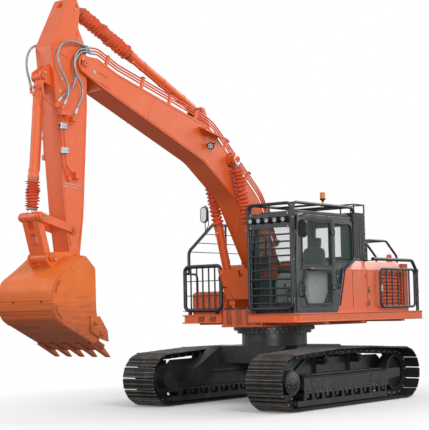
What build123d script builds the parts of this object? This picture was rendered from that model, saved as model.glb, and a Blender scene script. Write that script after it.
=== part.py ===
from build123d import *
import math
import os

os.makedirs("parts", exist_ok=True)

# Crawler excavator, forestry pattern, on a raised wide undercarriage.
# Millimetres. +X forward, +Y to the cab side, +Z up. The origin is on the ground
# under the slewing axis.

# ---- undercarriage ----------------------------------------------------------
track_gauge = 2690
tumbler_distance = 3404
shoe_width = 720
grouser_height = 26
shoe_thickness = 12
shoe_count = 49
shoe_gap = 10
grouser_foot = 24
link_height = 105
link_width = 46
link_spacing = 150
track_radius = 462
hump_height = 985
carrier_x = 520
carrier_radius = 72
roller_radius = 80
roller_count = 9
roller_pitch = 292
frame_width = 350
frame_top = 560
frame_floor = 320
frame_skirt = 250
frame_front = 1280
frame_rear = -1330
wall_foot = 1240
wall_reach = 800
wall_top = 805
wall_depth = 52
guard_thickness = 22
drive_cover_radius = 195
drive_cover_out = 250
tower_radius = 580
tower_top = 1215
beam_top = 1000
beam_bottom = 700
beam_half_length = 630
side_beam_out = 970
side_beam_in = 740
leg_reach = 1340
leg_top = 740
leg_bottom = 440
lower_ring_radius = 655
ring_thickness = 52
upper_ring_radius = 720
running_gap = 0.3

# ---- upper frame ------------------------------------------------------------
frame_bottom = 1335
skirt_bottom = 1410
deck_top = 1560
skirt_depth = 95
skirt_left = 1445
skirt_right = -1350
skirt_rear = -2790
right_skirt_rear = -2560
cab_deck_front = 1330
right_deck_front = 940
centre_front = 900
centre_half = 480
floor_plate = 40
deck_thickness = 30
bracket_plate = 30
bracket_inner = 215
bracket_outer = 402
apron_half = 436
apron_plate = 16
apron_top = 1672

# ---- boom, arm, bucket pins (side view x, z) ---------------------------------
boom_foot = (127, 2200)
boom_tip = (4870, 5334)
bucket_pin = (5073, 2448)
boom_cyl_foot = (730, 1750)
boom_cyl_eye = (1440, 4180)
boom_cyl_side = 325
arm_cyl_foot = (2050, 4960)
arm_cyl_eye = (4930, 6220)
bucket_cyl_foot = (5600, 5050)
side_link_pin = (5110, 2850)
link_pin = (5760, 3010)
ear_pin = (5580, 2430)
pin_radius = 45
pin_clearance = 0.05
side_clearance = 6
boom_half_width = 210
arm_half_width = 165
plate_thickness = 16

# ---- cab ---------------------------------------------------------------------
cab_front = 1200
cab_rear = -600
cab_left = 1360
cab_right = 445
cab_floor = 1600
cab_roof = 3250
cab_wall = 50
guard_top = 3386
bar_radius = 14

# ---- engine housing ------------------------------------------------------------
side_panel_out = 1335
right_panel_out = 1240
bulkhead_rear = -985
tank_rear = -955
tank_front = -120
side_panel_top = 2300
hood_top = 2470
housing_rear = -2330
hood_front = -990
hood_rear = -2260
hood_half = 595
hood_hinge = (-972, 2494)
hood_knuckles = (-380, 380)
hinge_pin = 7
knuckle_radius = 14
pump_door_front = -1250
pump_door_rear = -2250
pump_door_low = 1640
pump_door_high = 2270
pump_hinge = (-1252, -1258)
pump_hinge_heights = (1760, 2150)
tail_radius = 2880
lift_eye = (-2600, 2590)
lift_eye_side = 860
lift_plate = 40
lift_bore = 32
counterweight_half = 1300
counter_corner = 130
panel_lean = 130
panel_plate = 30
intake_rear = -2240
intake_front = -1430
intake_low = 1680
intake_high = 2270
slat_count = 9
slat_pitch = 64
slat_tilt = 35


def rounded_face(points):
    """Closed face of a row of points; a point may carry a fillet radius as its third value."""
    corners = [(p[0], p[1]) for p in points]
    radii = [p[2] if len(p) > 2 else 0 for p in points]
    return make_face(FilletPolyline(*corners, radius=radii, close=True))


def side_outline(points, y_low, y_high):
    """Extrude a side-view outline between two widths; a point is x, z, fillet radius."""
    return extrude(Plane.XZ.offset(-y_high) * rounded_face(points), amount=y_high - y_low)


def front_outline(points, x_low, x_high):
    """Extrude a front-view outline between two lengths; a point is y, z, fillet radius."""
    return extrude(Plane.YZ.offset(x_low) * rounded_face(points), amount=x_high - x_low)


def block(x0, x1, y0, y1, z0, z1):
    return Pos((x0 + x1) / 2, (y0 + y1) / 2, (z0 + z1) / 2) * Box(x1 - x0, y1 - y0, z1 - z0)


def cross_pin(centre, radius, y_low, y_high):
    """A round bar across the machine at a side-view point."""
    plane = Plane.XZ.offset(-y_high)
    disc = plane * Pos(centre[0], centre[1]) * Circle(radius)
    return extrude(disc, amount=y_high - y_low)


def upright(x, y, radius, z_low, z_high):
    return Pos(x, y, (z_low + z_high) / 2) * Cylinder(radius, z_high - z_low)


def rod_between(start, end, radius):
    """A straight round bar between two points in space."""
    line = Line(start, end)
    return sweep(Plane(origin=line @ 0, z_dir=line % 0) * Circle(radius), path=line)


def bent_tube(points, radius, bend):
    """A round bar along straight runs joined by tangent arcs."""
    path = FilletPolyline(*points, radius=bend)
    return sweep(Plane(origin=path @ 0, z_dir=path % 0) * Circle(radius), path=path)


def ring_tube(points, radius, bend):
    """A closed round bar along straight runs joined by tangent arcs."""
    path = FilletPolyline(*points, radius=bend, close=True)
    edge = path.edges()[0]
    return sweep(Plane(origin=edge @ 0, z_dir=edge % 0) * Circle(radius), path=path)


def save(name, *shapes):
    solids = [solid for shape in shapes for solid in shape.solids()]
    export_step(Compound(children=solids), f"parts/{name}.step")


def tangent_runs(circles):
    """Straight runs round a row of circles, each x, z, radius, listed anticlockwise.

    Each run is its outward angle, its start on one circle and its finish on the next.
    """
    runs = []
    for i, (x0, z0, r0) in enumerate(circles):
        x1, z1, r1 = circles[(i + 1) % len(circles)]
        gap = math.hypot(x1 - x0, z1 - z0)
        normal = math.atan2(z1 - z0, x1 - x0) - math.acos((r0 - r1) / gap)
        start = (x0 + r0 * math.cos(normal), z0 + r0 * math.sin(normal))
        finish = (x1 + r1 * math.cos(normal), z1 + r1 * math.sin(normal))
        runs.append((normal, start, finish))
    return runs


def hull_of_circles(circles):
    """Closed face bounded by the circles' arcs and tangent runs."""
    edges = []
    runs = tangent_runs(circles)
    for i, (x, z, radius) in enumerate(circles):
        arrive_angle, _, arrive = runs[i - 1]
        leave_angle, leave, finish = runs[i]
        turn = (leave_angle - arrive_angle) % (2 * math.pi)
        middle = arrive_angle + turn / 2
        top = (x + radius * math.cos(middle), z + radius * math.sin(middle))
        edges.append(ThreePointArc(arrive, top, leave))
        edges.append(Line(leave, finish))
    return make_face(Curve() + edges)


def places_round(circles, count):
    """Points spaced evenly round the loop, each with its outward angle."""
    runs = tangent_runs(circles)
    pieces = []
    for i, (x, z, radius) in enumerate(circles):
        arrive_angle = runs[i - 1][0]
        leave_angle, leave, finish = runs[i]
        turn = (leave_angle - arrive_angle) % (2 * math.pi)
        pieces.append((radius * turn, (x, z), radius, arrive_angle))
        pieces.append((math.dist(leave, finish), leave, 0, leave_angle))
    total = sum(piece[0] for piece in pieces)
    places = []
    for i in range(count):
        distance = total * (i + 0.5) / count
        for length, point, radius, angle in pieces:
            if distance <= length:
                break
            distance -= length
        if radius:
            angle += distance / radius
            places.append((point[0] + radius * math.cos(angle),
                           point[1] + radius * math.sin(angle), angle))
        else:
            places.append((point[0] - distance * math.sin(angle),
                           point[1] + distance * math.cos(angle), angle))
    return places, total / count


def along(start, end, distance, offset=0):
    """The side-view point a distance from start towards end, offset to its right."""
    length = math.hypot(end[0] - start[0], end[1] - start[1])
    ux = (end[0] - start[0]) / length
    uz = (end[1] - start[1]) / length
    return (start[0] + ux * distance + uz * offset, start[1] + uz * distance - ux * offset)


# ---- undercarriage pieces ------------------------------------------------------
belt_thickness = grouser_height + shoe_thickness
carrier_loop_radius = carrier_radius + running_gap + link_height + belt_thickness
carrier_height = hump_height - carrier_loop_radius
link_inner = track_radius - belt_thickness - link_height
roller_height = belt_thickness + link_height + roller_radius + running_gap
half_base = tumbler_distance / 2
frame_inner_face = track_gauge / 2 - frame_width / 2
roller_places = [(i - (roller_count - 1) / 2) * roller_pitch for i in range(roller_count)]


def belt_circles(inset):
    """The wheels that the track wraps, grown to its outline and moved inwards."""
    wheel = track_radius - inset
    carrier = carrier_loop_radius - inset
    return [
        (-half_base, track_radius, wheel),
        (half_base, track_radius, wheel),
        (carrier_x, carrier_height, carrier),
        (-carrier_x, carrier_height, carrier),
    ]


def loop_face(inset):
    return hull_of_circles(belt_circles(inset))


def across(face, y_low, y_high):
    """Extrude a side-view face drawn in x, z between two widths."""
    return extrude(Plane.XZ.offset(-y_high) * face, amount=y_high - y_low)


def shoe_outline():
    """Outline of all the shoes: flat plates with three grousers each, on the belt line."""
    places, pitch = places_round(belt_circles(belt_thickness), shoe_count)
    half = (pitch - shoe_gap) / 2
    plate = shoe_thickness
    tip = belt_thickness
    foot = grouser_foot
    profile = [
        (-half, 1), (-half + 3, tip), (-half + foot, plate), (-foot / 2, plate), (0, tip),
        (foot / 2, plate), (half - foot, plate), (half - 3, tip), (half, 1),
    ]
    points = []
    for x, z, angle in places:
        for run, rise in profile:
            points.append((x + rise * math.cos(angle) - run * math.sin(angle),
                           z + rise * math.sin(angle) + run * math.cos(angle)))
    return make_face(Polyline(*points, close=True))


def track_loop(centre):
    """One closed track: shoes, and the two rows of links inside them."""
    loop = across(shoe_outline() - loop_face(belt_thickness), centre - shoe_width / 2,
                  centre + shoe_width / 2)
    chain = loop_face(belt_thickness - 1) - loop_face(belt_thickness + link_height)
    for side in (-1, 1):
        middle = centre + side * link_spacing / 2
        loop += across(chain, middle - link_width / 2, middle + link_width / 2)
    return loop & block(-3000, 3000, centre - shoe_width, centre + shoe_width, 0, 2000)


def track_frame(side):
    """Box beam with roller blocks, a full-length guide rail, yoke and drive bracket."""
    centre = side * track_gauge / 2
    half = frame_width / 2
    wall = 12
    section = [
        (centre - half, frame_skirt), (centre - half + wall, frame_skirt),
        (centre - half + wall, frame_floor), (centre + half - wall, frame_floor),
        (centre + half - wall, frame_skirt), (centre + half, frame_skirt),
        (centre + half, frame_top - 35), (centre + half - 60, frame_top),
        (centre - half + 60, frame_top), (centre - half, frame_top - 35),
    ]
    frame = front_outline(section, frame_rear, frame_front)
    rail_bottom = belt_thickness + 20
    rail_top = rail_bottom + 90
    for edge in (-1, 1):
        outer = centre + edge * half
        y_low = min(outer, outer - edge * guard_thickness)
        rail = side_outline([
            (frame_rear + 60, rail_bottom, 40), (frame_front + 200, rail_bottom, 40),
            (frame_front + 200, rail_top, 40), (frame_rear + 60, rail_top, 40),
        ], y_low, y_low + guard_thickness)
        frame += rail
        for i in range(roller_count + 1):
            x = (i - roller_count / 2) * roller_pitch
            x = max(frame_rear + 90, min(frame_front - 30, x))
            frame += block(x - 30, x + 30, y_low, y_low + guard_thickness,
                           rail_top - 5, frame_skirt + 5)
        inside = centre + edge * (half - wall)
        block_low = min(inside, inside - edge * 33)
        for x in roller_places:
            frame += block(x - 34, x + 34, block_low, block_low + 33,
                           roller_height - 34, frame_floor + 5)
        yoke_low = min(centre + edge * 125, centre + edge * 165)
        frame += side_outline([
            (frame_rear + 20, frame_floor + 30), (-half_base - 70, frame_floor + 70, 40),
            (-half_base - 70, frame_top - 20, 40), (frame_rear + 20, frame_top - 20),
        ], yoke_low, yoke_low + 40)
    inner = centre - side * half
    low = min(inner, inner + side * 30)
    frame += side_outline([
        (frame_front - 250, frame_skirt), (half_base + 120, track_radius - 250, 120),
        (half_base + 260, track_radius, 120), (half_base + 120, track_radius + 250, 120),
        (half_base - 120, track_radius + 250, 60), (frame_front - 250, frame_top - 40),
    ], low, low + 30)
    low = min(inner, inner + side * wall_depth)
    frame += side_outline([
        (-wall_foot, frame_top - 60), (wall_foot, frame_top - 60), (wall_foot, frame_top - 20),
        (wall_reach, wall_top, 150), (-wall_reach, wall_top, 150),
        (-wall_foot, frame_top - 20),
    ], low, low + wall_depth)
    for x in (-carrier_x, carrier_x):
        post_low = min(centre - side * 62, centre - side * 122)
        frame += block(x - 55, x + 55, post_low, post_low + 60, frame_top - 5,
                       carrier_height + 40)
    return frame


def track_rollers():
    rollers = []
    for side in (-1, 1):
        centre = side * track_gauge / 2
        reach = frame_width / 2 - 12 - 33
        for x in roller_places:
            point = (x, roller_height)
            roller = cross_pin(point, 28, centre - reach, centre + reach)
            roller += cross_pin(point, roller_radius - 14, centre - 118, centre + 118)
            for tread in (-1, 1):
                middle = centre + tread * 72
                roller += cross_pin(point, roller_radius, middle - 30, middle + 30)
            rollers.append(roller)
    return rollers


def carrier_rollers():
    rollers = []
    for side in (-1, 1):
        centre = side * track_gauge / 2
        for x in (-carrier_x, carrier_x):
            low = min(centre - side * 62, centre + side * 110)
            rollers.append(cross_pin((x, carrier_height), carrier_radius, low, low + 172))
    return rollers


def idlers():
    wheels = []
    for side in (-1, 1):
        centre = side * track_gauge / 2
        point = (-half_base, track_radius)
        rim = link_inner - running_gap
        wheel = cross_pin(point, rim, centre - 98, centre + 98)
        wheel += cross_pin(point, rim + 35, centre - 36, centre + 36)
        for face in (-1, 1):
            low = min(centre + face * 30, centre + face * 99)
            dish = cross_pin(point, rim - 45, low, low + 69) - cross_pin(point, 90, low, low + 69)
            wheel -= dish
        wheel += cross_pin(point, 60, centre - 125, centre + 125)
        wheels.append(wheel)
    return wheels


def final_drives():
    drives = []
    teeth = 21
    for side in (-1, 1):
        centre = side * track_gauge / 2
        point = (half_base, track_radius)
        tip = track_radius - belt_thickness - 22
        sprocket = cross_pin(point, tip - 46, centre - 40, centre + 40)
        for i in range(teeth):
            angle = 2 * math.pi * (i + 0.5) / teeth
            tooth = side_outline([
                (tip - 60, -34), (tip, -13, 6), (tip, 13, 6), (tip - 60, 34),
            ], centre - 40, centre + 40)
            turned = Rot(0, -math.degrees(angle), 0) * tooth
            sprocket += Pos(point[0], 0, point[1]) * turned
        inner = centre - side * (frame_width / 2 - 30)
        outer = centre + side * drive_cover_out
        hub = cross_pin(point, drive_cover_radius, min(inner, outer), max(inner, outer))
        drives.append(sprocket + hub)
    return drives


def travel_motors():
    motors = []
    for side in (-1, 1):
        inner = side * (track_gauge / 2 - frame_width / 2)
        low = min(inner, inner - side * 150)
        motors.append(cross_pin((half_base, track_radius), 150, low, low + 150))
    return motors


def carbody():
    """Raised centre beam, tower and sloping flanks whose feet meet the track frames."""
    body = block(-beam_half_length, beam_half_length, -side_beam_in, side_beam_in,
                 beam_bottom, beam_top)
    body += upright(0, 0, tower_radius, beam_bottom, tower_top)
    reach = leg_reach
    flank = [
        (-reach, leg_bottom), (-reach, leg_top - 90), (-beam_half_length, beam_top),
        (beam_half_length, beam_top), (reach, leg_top - 90), (reach, leg_bottom),
        (reach - 160, leg_bottom), (beam_half_length, beam_bottom),
        (-beam_half_length, beam_bottom), (-reach + 160, leg_bottom),
    ]
    for side in (-1, 1):
        low = min(side * (side_beam_in - 20), side * side_beam_out)
        body += side_outline(flank, low, low + side_beam_out - side_beam_in + 20)
        for end in (-1, 1):
            x_low = min(end * reach, end * (reach - 420))
            y_low = min(side * (side_beam_out - 5), side * frame_inner_face)
            body += block(x_low, x_low + 420, y_low, y_low + frame_inner_face
                          - side_beam_out + 5, leg_bottom, leg_bottom + 110)
    return body


def ring(radius, bore, z_low, z_high):
    return upright(0, 0, radius, z_low, z_high) - upright(0, 0, bore, z_low, z_high)


save("carbody", carbody())
save("track_frames", track_frame(1), track_frame(-1))
for name, side in (("left", 1), ("right", -1)):
    save(f"track_{name}", track_loop(side * track_gauge / 2))
save("rollers", *track_rollers(), *carrier_rollers(), *idlers())
save("final_drives", *final_drives(), *travel_motors())
save("slew_ring_lower", ring(lower_ring_radius, 500, tower_top, tower_top + ring_thickness))
save("slew_ring_upper", ring(upper_ring_radius, 500,
                             tower_top + ring_thickness + running_gap, frame_bottom))


# ---- upper frame ----------------------------------------------------------------
deck_under = deck_top - deck_thickness
counter_front = housing_rear - 10
deck_inner = 250
deck_step = 520
deck_front_inner = 445
skirt_wall = 20
skirt_lip = 12
inboard_reach = 450
outrigger_places = (-2140, -780, 360)
outrigger_width = 130
left_deck = [
    (counter_front, deck_inner), (deck_step, deck_inner), (deck_step, deck_front_inner),
    (cab_deck_front, deck_front_inner),
    (cab_deck_front, skirt_left, 90), (skirt_rear, skirt_left, 40),
    (skirt_rear, skirt_left - skirt_depth), (counter_front, skirt_left - skirt_depth),
]
right_deck = [
    (counter_front, -deck_inner), (deck_step, -deck_inner), (deck_step, -deck_front_inner),
    (right_deck_front, -deck_front_inner),
    (right_deck_front, skirt_right, 90), (right_skirt_rear, skirt_right, 40),
    (right_skirt_rear, skirt_right + skirt_depth), (counter_front, skirt_right + skirt_depth),
]


def main_frame():
    """Centre plate, boom-foot plates, cylinder plates, outriggers and their pins."""
    frame = block(counter_front, centre_front, -centre_half, centre_half, frame_bottom,
                  frame_bottom + floor_plate)
    floor = frame_bottom + floor_plate - 5
    fx, fz = boom_foot
    cx, cz = boom_cyl_foot
    inner = [
        (counter_front, floor), (counter_front, deck_under), (-760, deck_top, 200),
        (-260, fz - 60, 200), (fx - 130, fz + 150, 110), (fx + 130, fz + 150, 130),
        (fx + 330, cz + 130, 200), (cx + 95, cz + 95, 90), (centre_front, deck_top + 60, 60),
        (centre_front, floor),
    ]
    outer = [
        (cx - 190, floor), (cx - 95, cz + 95, 90), (cx + 95, cz + 95, 90),
        (centre_front, deck_top + 60, 60), (centre_front, floor),
    ]
    frame += block(centre_front - 1, centre_front + apron_plate, -apron_half, apron_half,
                   frame_bottom, apron_top)
    for side in (-1, 1):
        low = min(side * bracket_inner, side * (bracket_inner + bracket_plate))
        frame += side_outline(inner, low, low + bracket_plate)
        low = min(side * bracket_outer, side * (bracket_outer + bracket_plate))
        frame += side_outline(outer, low, low + bracket_plate)
        low = min(side * (bracket_inner + bracket_plate - 5), side * (bracket_outer + 36))
        frame += cross_pin(boom_cyl_foot, pin_radius, low,
                           low + bracket_outer - bracket_inner - bracket_plate + 41)
        boss_low = min(side * (bracket_inner + 5), side * (bracket_inner + bracket_plate + 30))
        frame += cross_pin(boom_foot, 110, boss_low, boss_low + bracket_plate + 25)
    frame += cross_pin(boom_foot, pin_radius, -bracket_inner - 60, bracket_inner + 60)
    reach = bracket_inner + bracket_plate - 5
    for x in outrigger_places:
        frame += block(x, x + outrigger_width, reach, skirt_left - skirt_wall,
                       frame_bottom + floor_plate, deck_under)
        frame += block(x, x + outrigger_width, skirt_right + skirt_wall, -reach,
                       frame_bottom + floor_plate, deck_under)
    return frame


def skirt(outline):
    """Edge beam of the deck: a folded outer wall with a bottom lip, and the floor plate."""
    face = rounded_face(outline)
    wall = offset(face, amount=-skirt_wall, kind=Kind.INTERSECTION)
    lip = offset(face, amount=-skirt_depth, kind=Kind.INTERSECTION)
    edge = extrude(Plane.XY.offset(skirt_bottom) * (face - wall), amount=deck_under
                   - skirt_bottom)
    edge += extrude(Plane.XY.offset(skirt_bottom) * (face - lip), amount=skirt_lip)
    edge += extrude(Plane.XY.offset(deck_under) * face, amount=deck_thickness)
    return edge


def deck_side(outline, inboard):
    """The skirt with its inboard wall taken away, where the centre frame stands."""
    beam = skirt(outline)
    low = min(0, inboard)
    beam -= block(counter_front - 1, deck_step - skirt_wall, low, low + abs(inboard),
                  skirt_bottom - 1, deck_under)
    for x in outrigger_places:
        beam -= block(x, x + outrigger_width, skirt_right + skirt_wall,
                      skirt_left - skirt_wall, skirt_bottom - 1, deck_under)
    return beam


def counterweight():
    weight = upright(0, 0, tail_radius, skirt_bottom + 5, hood_top - 30)
    weight &= block(-tail_radius - 10, counter_front, skirt_right + skirt_depth + 5,
                    counterweight_half, skirt_bottom, hood_top)
    corners = weight.edges().filter_by(Axis.Z).sort_by(Axis.X)
    rear = [edge for edge in corners if edge.center().X < counter_front - 50]
    weight = fillet(rear, counter_corner)
    for y in (-lift_eye_side, lift_eye_side):
        weight += side_outline([
            (lift_eye[0] - 90, hood_top - 40), (lift_eye[0] - 60, lift_eye[1] + 55, 50),
            (lift_eye[0] + 60, lift_eye[1] + 55, 50), (lift_eye[0] + 90, hood_top - 40),
        ], y - lift_plate / 2, y + lift_plate / 2)
    return weight - cross_pin(lift_eye, lift_bore, -counterweight_half, counterweight_half)


def bevel_section(side, out, thickness):
    """Cross-section of a side wall whose top edge leans inwards."""
    lean = panel_lean
    points = [
        (out, deck_top), (out, side_panel_top), (out - lean, hood_top),
        (out - lean - 60, hood_top), (out - lean - 60, hood_top - thickness),
        (out - lean - 20, hood_top - thickness), (out - thickness, side_panel_top - 16),
        (out - thickness, deck_top),
    ]
    return [(side * y, z) for y, z in points]


def left_panel():
    """Cab-side wall of the engine housing, cut to the cab's rear line, with its intake."""
    wall = front_outline(bevel_section(1, side_panel_out, panel_plate), housing_rear, 0)
    wall &= side_outline([
        (housing_rear, deck_top), (housing_rear, hood_top), (-618, hood_top),
        (-618, 2452), (-242, 2262), (-45, deck_top),
    ], 0, 1500)
    wall -= block(intake_rear, intake_front, 1200, 1400, intake_low, intake_high)
    middle = (intake_rear + intake_front) / 2
    for i in range(slat_count):
        z = intake_low + slat_pitch * (i + 0.5)
        slat = Box(intake_front - intake_rear + 20, 46, 6)
        wall += Pos(middle, side_panel_out - 17, z) * Rot(slat_tilt, 0, 0) * slat
    return wall


def right_panel():
    wall = front_outline(bevel_section(-1, right_panel_out, panel_plate), housing_rear,
                         bulkhead_rear)
    wall -= block(pump_door_rear, pump_door_front, -1400, -1150, pump_door_low,
                  pump_door_high)
    x, y = pump_hinge
    for z in pump_hinge_heights:
        wall += upright(x, y, hinge_pin, z - 45, z + 45)
        for low in (z - 46, z + 29):
            wall += upright(x, y, knuckle_radius, low, low + 17)
            wall += block(x, x + 14, y, 1 - right_panel_out, low, low + 17)
    return wall


def bulkhead():
    front = bulkhead_rear + panel_plate
    wall = block(bulkhead_rear, front, panel_plate - right_panel_out,
                 side_panel_out - panel_plate, deck_top, side_panel_top - 20)
    wall += block(bulkhead_rear, front, 200 - right_panel_out, side_panel_out - 200,
                  side_panel_top - 30, hood_top - 30)
    return wall


def roof_panel():
    """Fixed top of the engine housing round the hood opening."""
    half_left = side_panel_out - panel_lean - 60
    half_right = panel_lean + 60 - right_panel_out
    top = block(housing_rear, -640, half_right, half_left, hood_top - 30, hood_top)
    top -= block(-956, -630, half_right - 10, -455, hood_top - 40, hood_top + 10)
    top -= block(hood_rear + 20, hood_front - 20, -hood_half + 20, hood_half - 20,
                 hood_top - 40, hood_top + 10)
    hinge_x, hinge_z = hood_hinge
    for y in hood_knuckles:
        for low in (y - 45, y + 29):
            top += block(hinge_x - 11, hinge_x + 11, low, low + 16, hood_top - 5, hinge_z + 12)
        top += cross_pin(hood_hinge, hinge_pin, y - 45, y + 45)
    return top


def fuel_tank():
    tank = block(tank_rear, tank_front, -right_panel_out, -460, deck_top, hood_top)
    return fillet(tank.edges().filter_by(Axis.Z) + tank.edges().group_by(Axis.Z)[-1], 40)


def tool_box():
    box = block(240, 790, skirt_right + 90, -500, deck_top, 1965)
    return fillet(box.edges().filter_by(Axis.Z) + box.edges().group_by(Axis.Z)[-1], 60)


save("main_frame", main_frame())
save("decks", deck_side(left_deck, inboard_reach), deck_side(right_deck, -inboard_reach))
save("counterweight", counterweight())
save("engine", block(-2100, -1150, -420, 420, deck_top, 2240))
save("side_panels", left_panel(), right_panel())
save("housing_roof", roof_panel() + bulkhead())
save("fuel_tank", fuel_tank())
save("tool_box", tool_box())


# ---- cab ---------------------------------------------------------------------------
post_radius = 26
post_x = cab_front + 6 + post_radius
hoop_top = 3400
rear_post_x = cab_rear - 12 - post_radius
hoop_left = cab_left - 25
hoop_right = cab_right + 12
screen_x = post_x + 2 * post_radius + 6
cab_side = [
    (cab_front, cab_floor), (cab_front, 2500, 400), (cab_front - 65, 3190, 60),
    (cab_front - 160, cab_roof, 120), (cab_rear + 110, cab_roof, 80), (cab_rear, 3090, 80),
    (cab_rear, 2448, 30), (-228, 2262, 30), (-32, cab_floor),
]
door_low = 1652
door_high = 3165
door_front = 1110
door_rear = 85
door_gap = 6
glass = 6


def door_outline(inset):
    """The doorway, moved inwards by an inset."""
    return [
        (door_rear + inset, door_low + inset, 60), (door_front - inset, door_low + inset, 90),
        (door_front - inset, door_high - 150, 200), (door_front - 90, door_high - inset, 60),
        (door_rear + inset, door_high - inset, 60),
    ]


quarter_window = [(25, 3095), (-515, 3095, 110), (-515, 2480, 60), (-205, 2318, 60),
                  (-110, 1960), (25, 1960)]
right_window = [(1040, 2180, 60), (1040, 3080, 90), (-480, 3080, 90), (-480, 2500, 60),
                (-100, 2180, 60)]
upper_light = [(165, 2365, 50), (990, 2365, 50), (990, 3000, 60), (915, 3100, 60),
               (165, 3100, 50)]
lower_light = [(180, 1725, 50), (880, 1725, 120), (1000, 1990, 200), (930, 2245, 90),
               (180, 2245, 50)]
front_window = [(cab_right + 65, 1740, 60), (cab_left - 65, 1740, 60),
                (cab_left - 65, 3110, 60), (cab_right + 65, 3110, 60)]
rear_window = [(cab_right + 90, 2540, 60), (cab_left - 90, 2540, 60),
               (cab_left - 90, 3080, 60), (cab_right + 90, 3080, 60)]


def cab_shell():
    """Pressed cab frame: one hollow shell with its doorway and windows cut."""
    face = rounded_face(cab_side)
    shell = across(face, cab_right, cab_left)
    shell &= front_outline([
        (cab_right, cab_floor - 5), (cab_right, cab_roof + 5, 90),
        (cab_left, cab_roof + 5, 90), (cab_left, cab_floor - 5),
    ], cab_rear - 10, cab_front + 10)
    room = across(offset(face, amount=-cab_wall, kind=Kind.INTERSECTION),
                  cab_right + cab_wall, cab_left - cab_wall)
    shell -= room
    shell -= side_outline(door_outline(0), cab_left - cab_wall - 5, cab_left + 5)
    shell -= side_outline(quarter_window, cab_left - cab_wall - 5, cab_left + 5)
    shell -= side_outline(right_window, cab_right - 5, cab_right + cab_wall + 5)
    shell -= front_outline(front_window, cab_front - 140, cab_front + 5)
    shell -= front_outline(rear_window, cab_rear - 5, cab_rear + cab_wall + 5)
    shell += block(cab_rear + 560, cab_front - 40, cab_right + 30, cab_left - 30,
                   deck_top, cab_floor + 5)
    return shell


def cab_glass():
    """Fixed panes, each filling its opening in the shell."""
    middle = cab_wall / 2 - glass / 2
    quarter = side_outline(quarter_window, cab_left - middle - glass, cab_left - middle)
    right = side_outline(right_window, cab_right + middle, cab_right + middle + glass)
    rear = front_outline(rear_window, cab_rear + middle, cab_rear + middle + glass)
    face = rounded_face(cab_side)
    outer = offset(face, amount=-middle, kind=Kind.INTERSECTION)
    inner = offset(face, amount=-middle - glass, kind=Kind.INTERSECTION)
    front = across(outer - inner, cab_right, cab_left)
    front &= front_outline(front_window, cab_front - 140, cab_front + 5)
    return [quarter, right, rear, front]


door_hinge = (door_rear - 18, cab_left + 20)
hinge_heights = (1990, 2930)


def door_leaf():
    """Door frame with its two lights cut and a strap to each hinge."""
    inner = cab_left - 46
    leaf = side_outline(door_outline(door_gap), inner, cab_left - 2)
    leaf -= side_outline(upper_light, inner - 5, cab_left + 5)
    leaf -= side_outline(lower_light, inner - 5, cab_left + 5)
    x, y = door_hinge
    for z in hinge_heights:
        strap = block(x, door_rear + 70, y - 6, y + 6, z - 28, z + 28)
        strap += block(door_rear + 30, door_rear + 70, cab_left - 10, y + 6, z - 28, z + 28)
        strap += upright(x, y, knuckle_radius, z - 28, z + 28)
        leaf += strap - upright(x, y, hinge_pin + pin_clearance, z - 40, z + 40)
    return leaf


def door_glass():
    low = cab_left - 27
    return [side_outline(light, low, low + glass) for light in (upper_light, lower_light)]


def with_door_hinges(shell):
    """The shell with hinge pins on brackets at its door pillar."""
    x, y = door_hinge
    for z in hinge_heights:
        shell += upright(x, y, hinge_pin, z - 45, z + 45)
        for low in (z - 46, z + 29):
            shell += upright(x, y, knuckle_radius, low, low + 17)
            shell += block(x - 10, x + 10, cab_left, y, low, low + 17)
    return shell


def roof_guard():
    """Two hoops over the cab joined by cross tubes, on feet behind the cab."""
    guard = None
    for y in (hoop_right, hoop_left):
        hoop = bent_tube([(post_x, y, deck_top), (post_x, y, hoop_top),
                          (rear_post_x, y, hoop_top), (rear_post_x, y, hood_top)],
                         post_radius, 120)
        guard = hoop if guard is None else guard + hoop
    for x in (rear_post_x + 160, -170, 420, post_x - 150):
        guard += rod_between((x, hoop_right, hoop_top), (x, hoop_left, hoop_top), 20)
    guard += block(rear_post_x - 45, rear_post_x + 30, 1080, hoop_left + 30,
                   hood_top, hood_top + 12)
    guard += block(rear_post_x - 45, rear_post_x + 30, hoop_right - 40, hoop_right + 60,
                   hood_top, hood_top + 12)
    for y in (hoop_right, hoop_left):
        for z in (1800, 2450, 3150):
            guard += block(post_x, post_x + post_radius + 4, y - 12, y + 12, z - 25, z + 25)
    return guard


def front_guard():
    """Screen of round bars in a tube frame in front of the cab, with a lamp board."""
    low = hoop_right - 5
    high = hoop_left + 5
    frame = ring_tube([(screen_x, low, 1640), (screen_x, high, 1640),
                       (screen_x, high, guard_top), (screen_x, low, guard_top)],
                      post_radius, 85)
    thin = [2870 - 118 * i for i in range(6)] + [1980, 1860, 1735]
    for z in thin:
        frame += rod_between((screen_x, low, z), (screen_x, high, z), bar_radius)
    frame += rod_between((screen_x, low, 2130), (screen_x, high, 2130), 19)
    frame += block(screen_x - 8, screen_x + 8, (low + high) / 2 - 18, (low + high) / 2 + 18,
                   1640, 3000)
    frame += block(screen_x - 6, screen_x + 6, low, high, 2985, 3235)
    frame += rod_between((screen_x, (low + high) / 2, 3200),
                         (screen_x, (low + high) / 2, guard_top), 16)
    for y in (low + 60, high - 60):
        frame += block(screen_x - 20, screen_x + 6, y - 20, y + 20, deck_top, 1640)
    return frame


def work_lamps():
    low = hoop_right - 5
    high = hoop_left + 5
    lamps = []
    for i in range(5):
        y = low + (high - low) * (i + 0.62) / 5.25
        lamp = Pos(screen_x + 6 + 30, y, 3110) * Rot(0, 90, 0) * Cylinder(46, 60)
        lamps.append(lamp)
    return lamps


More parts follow.
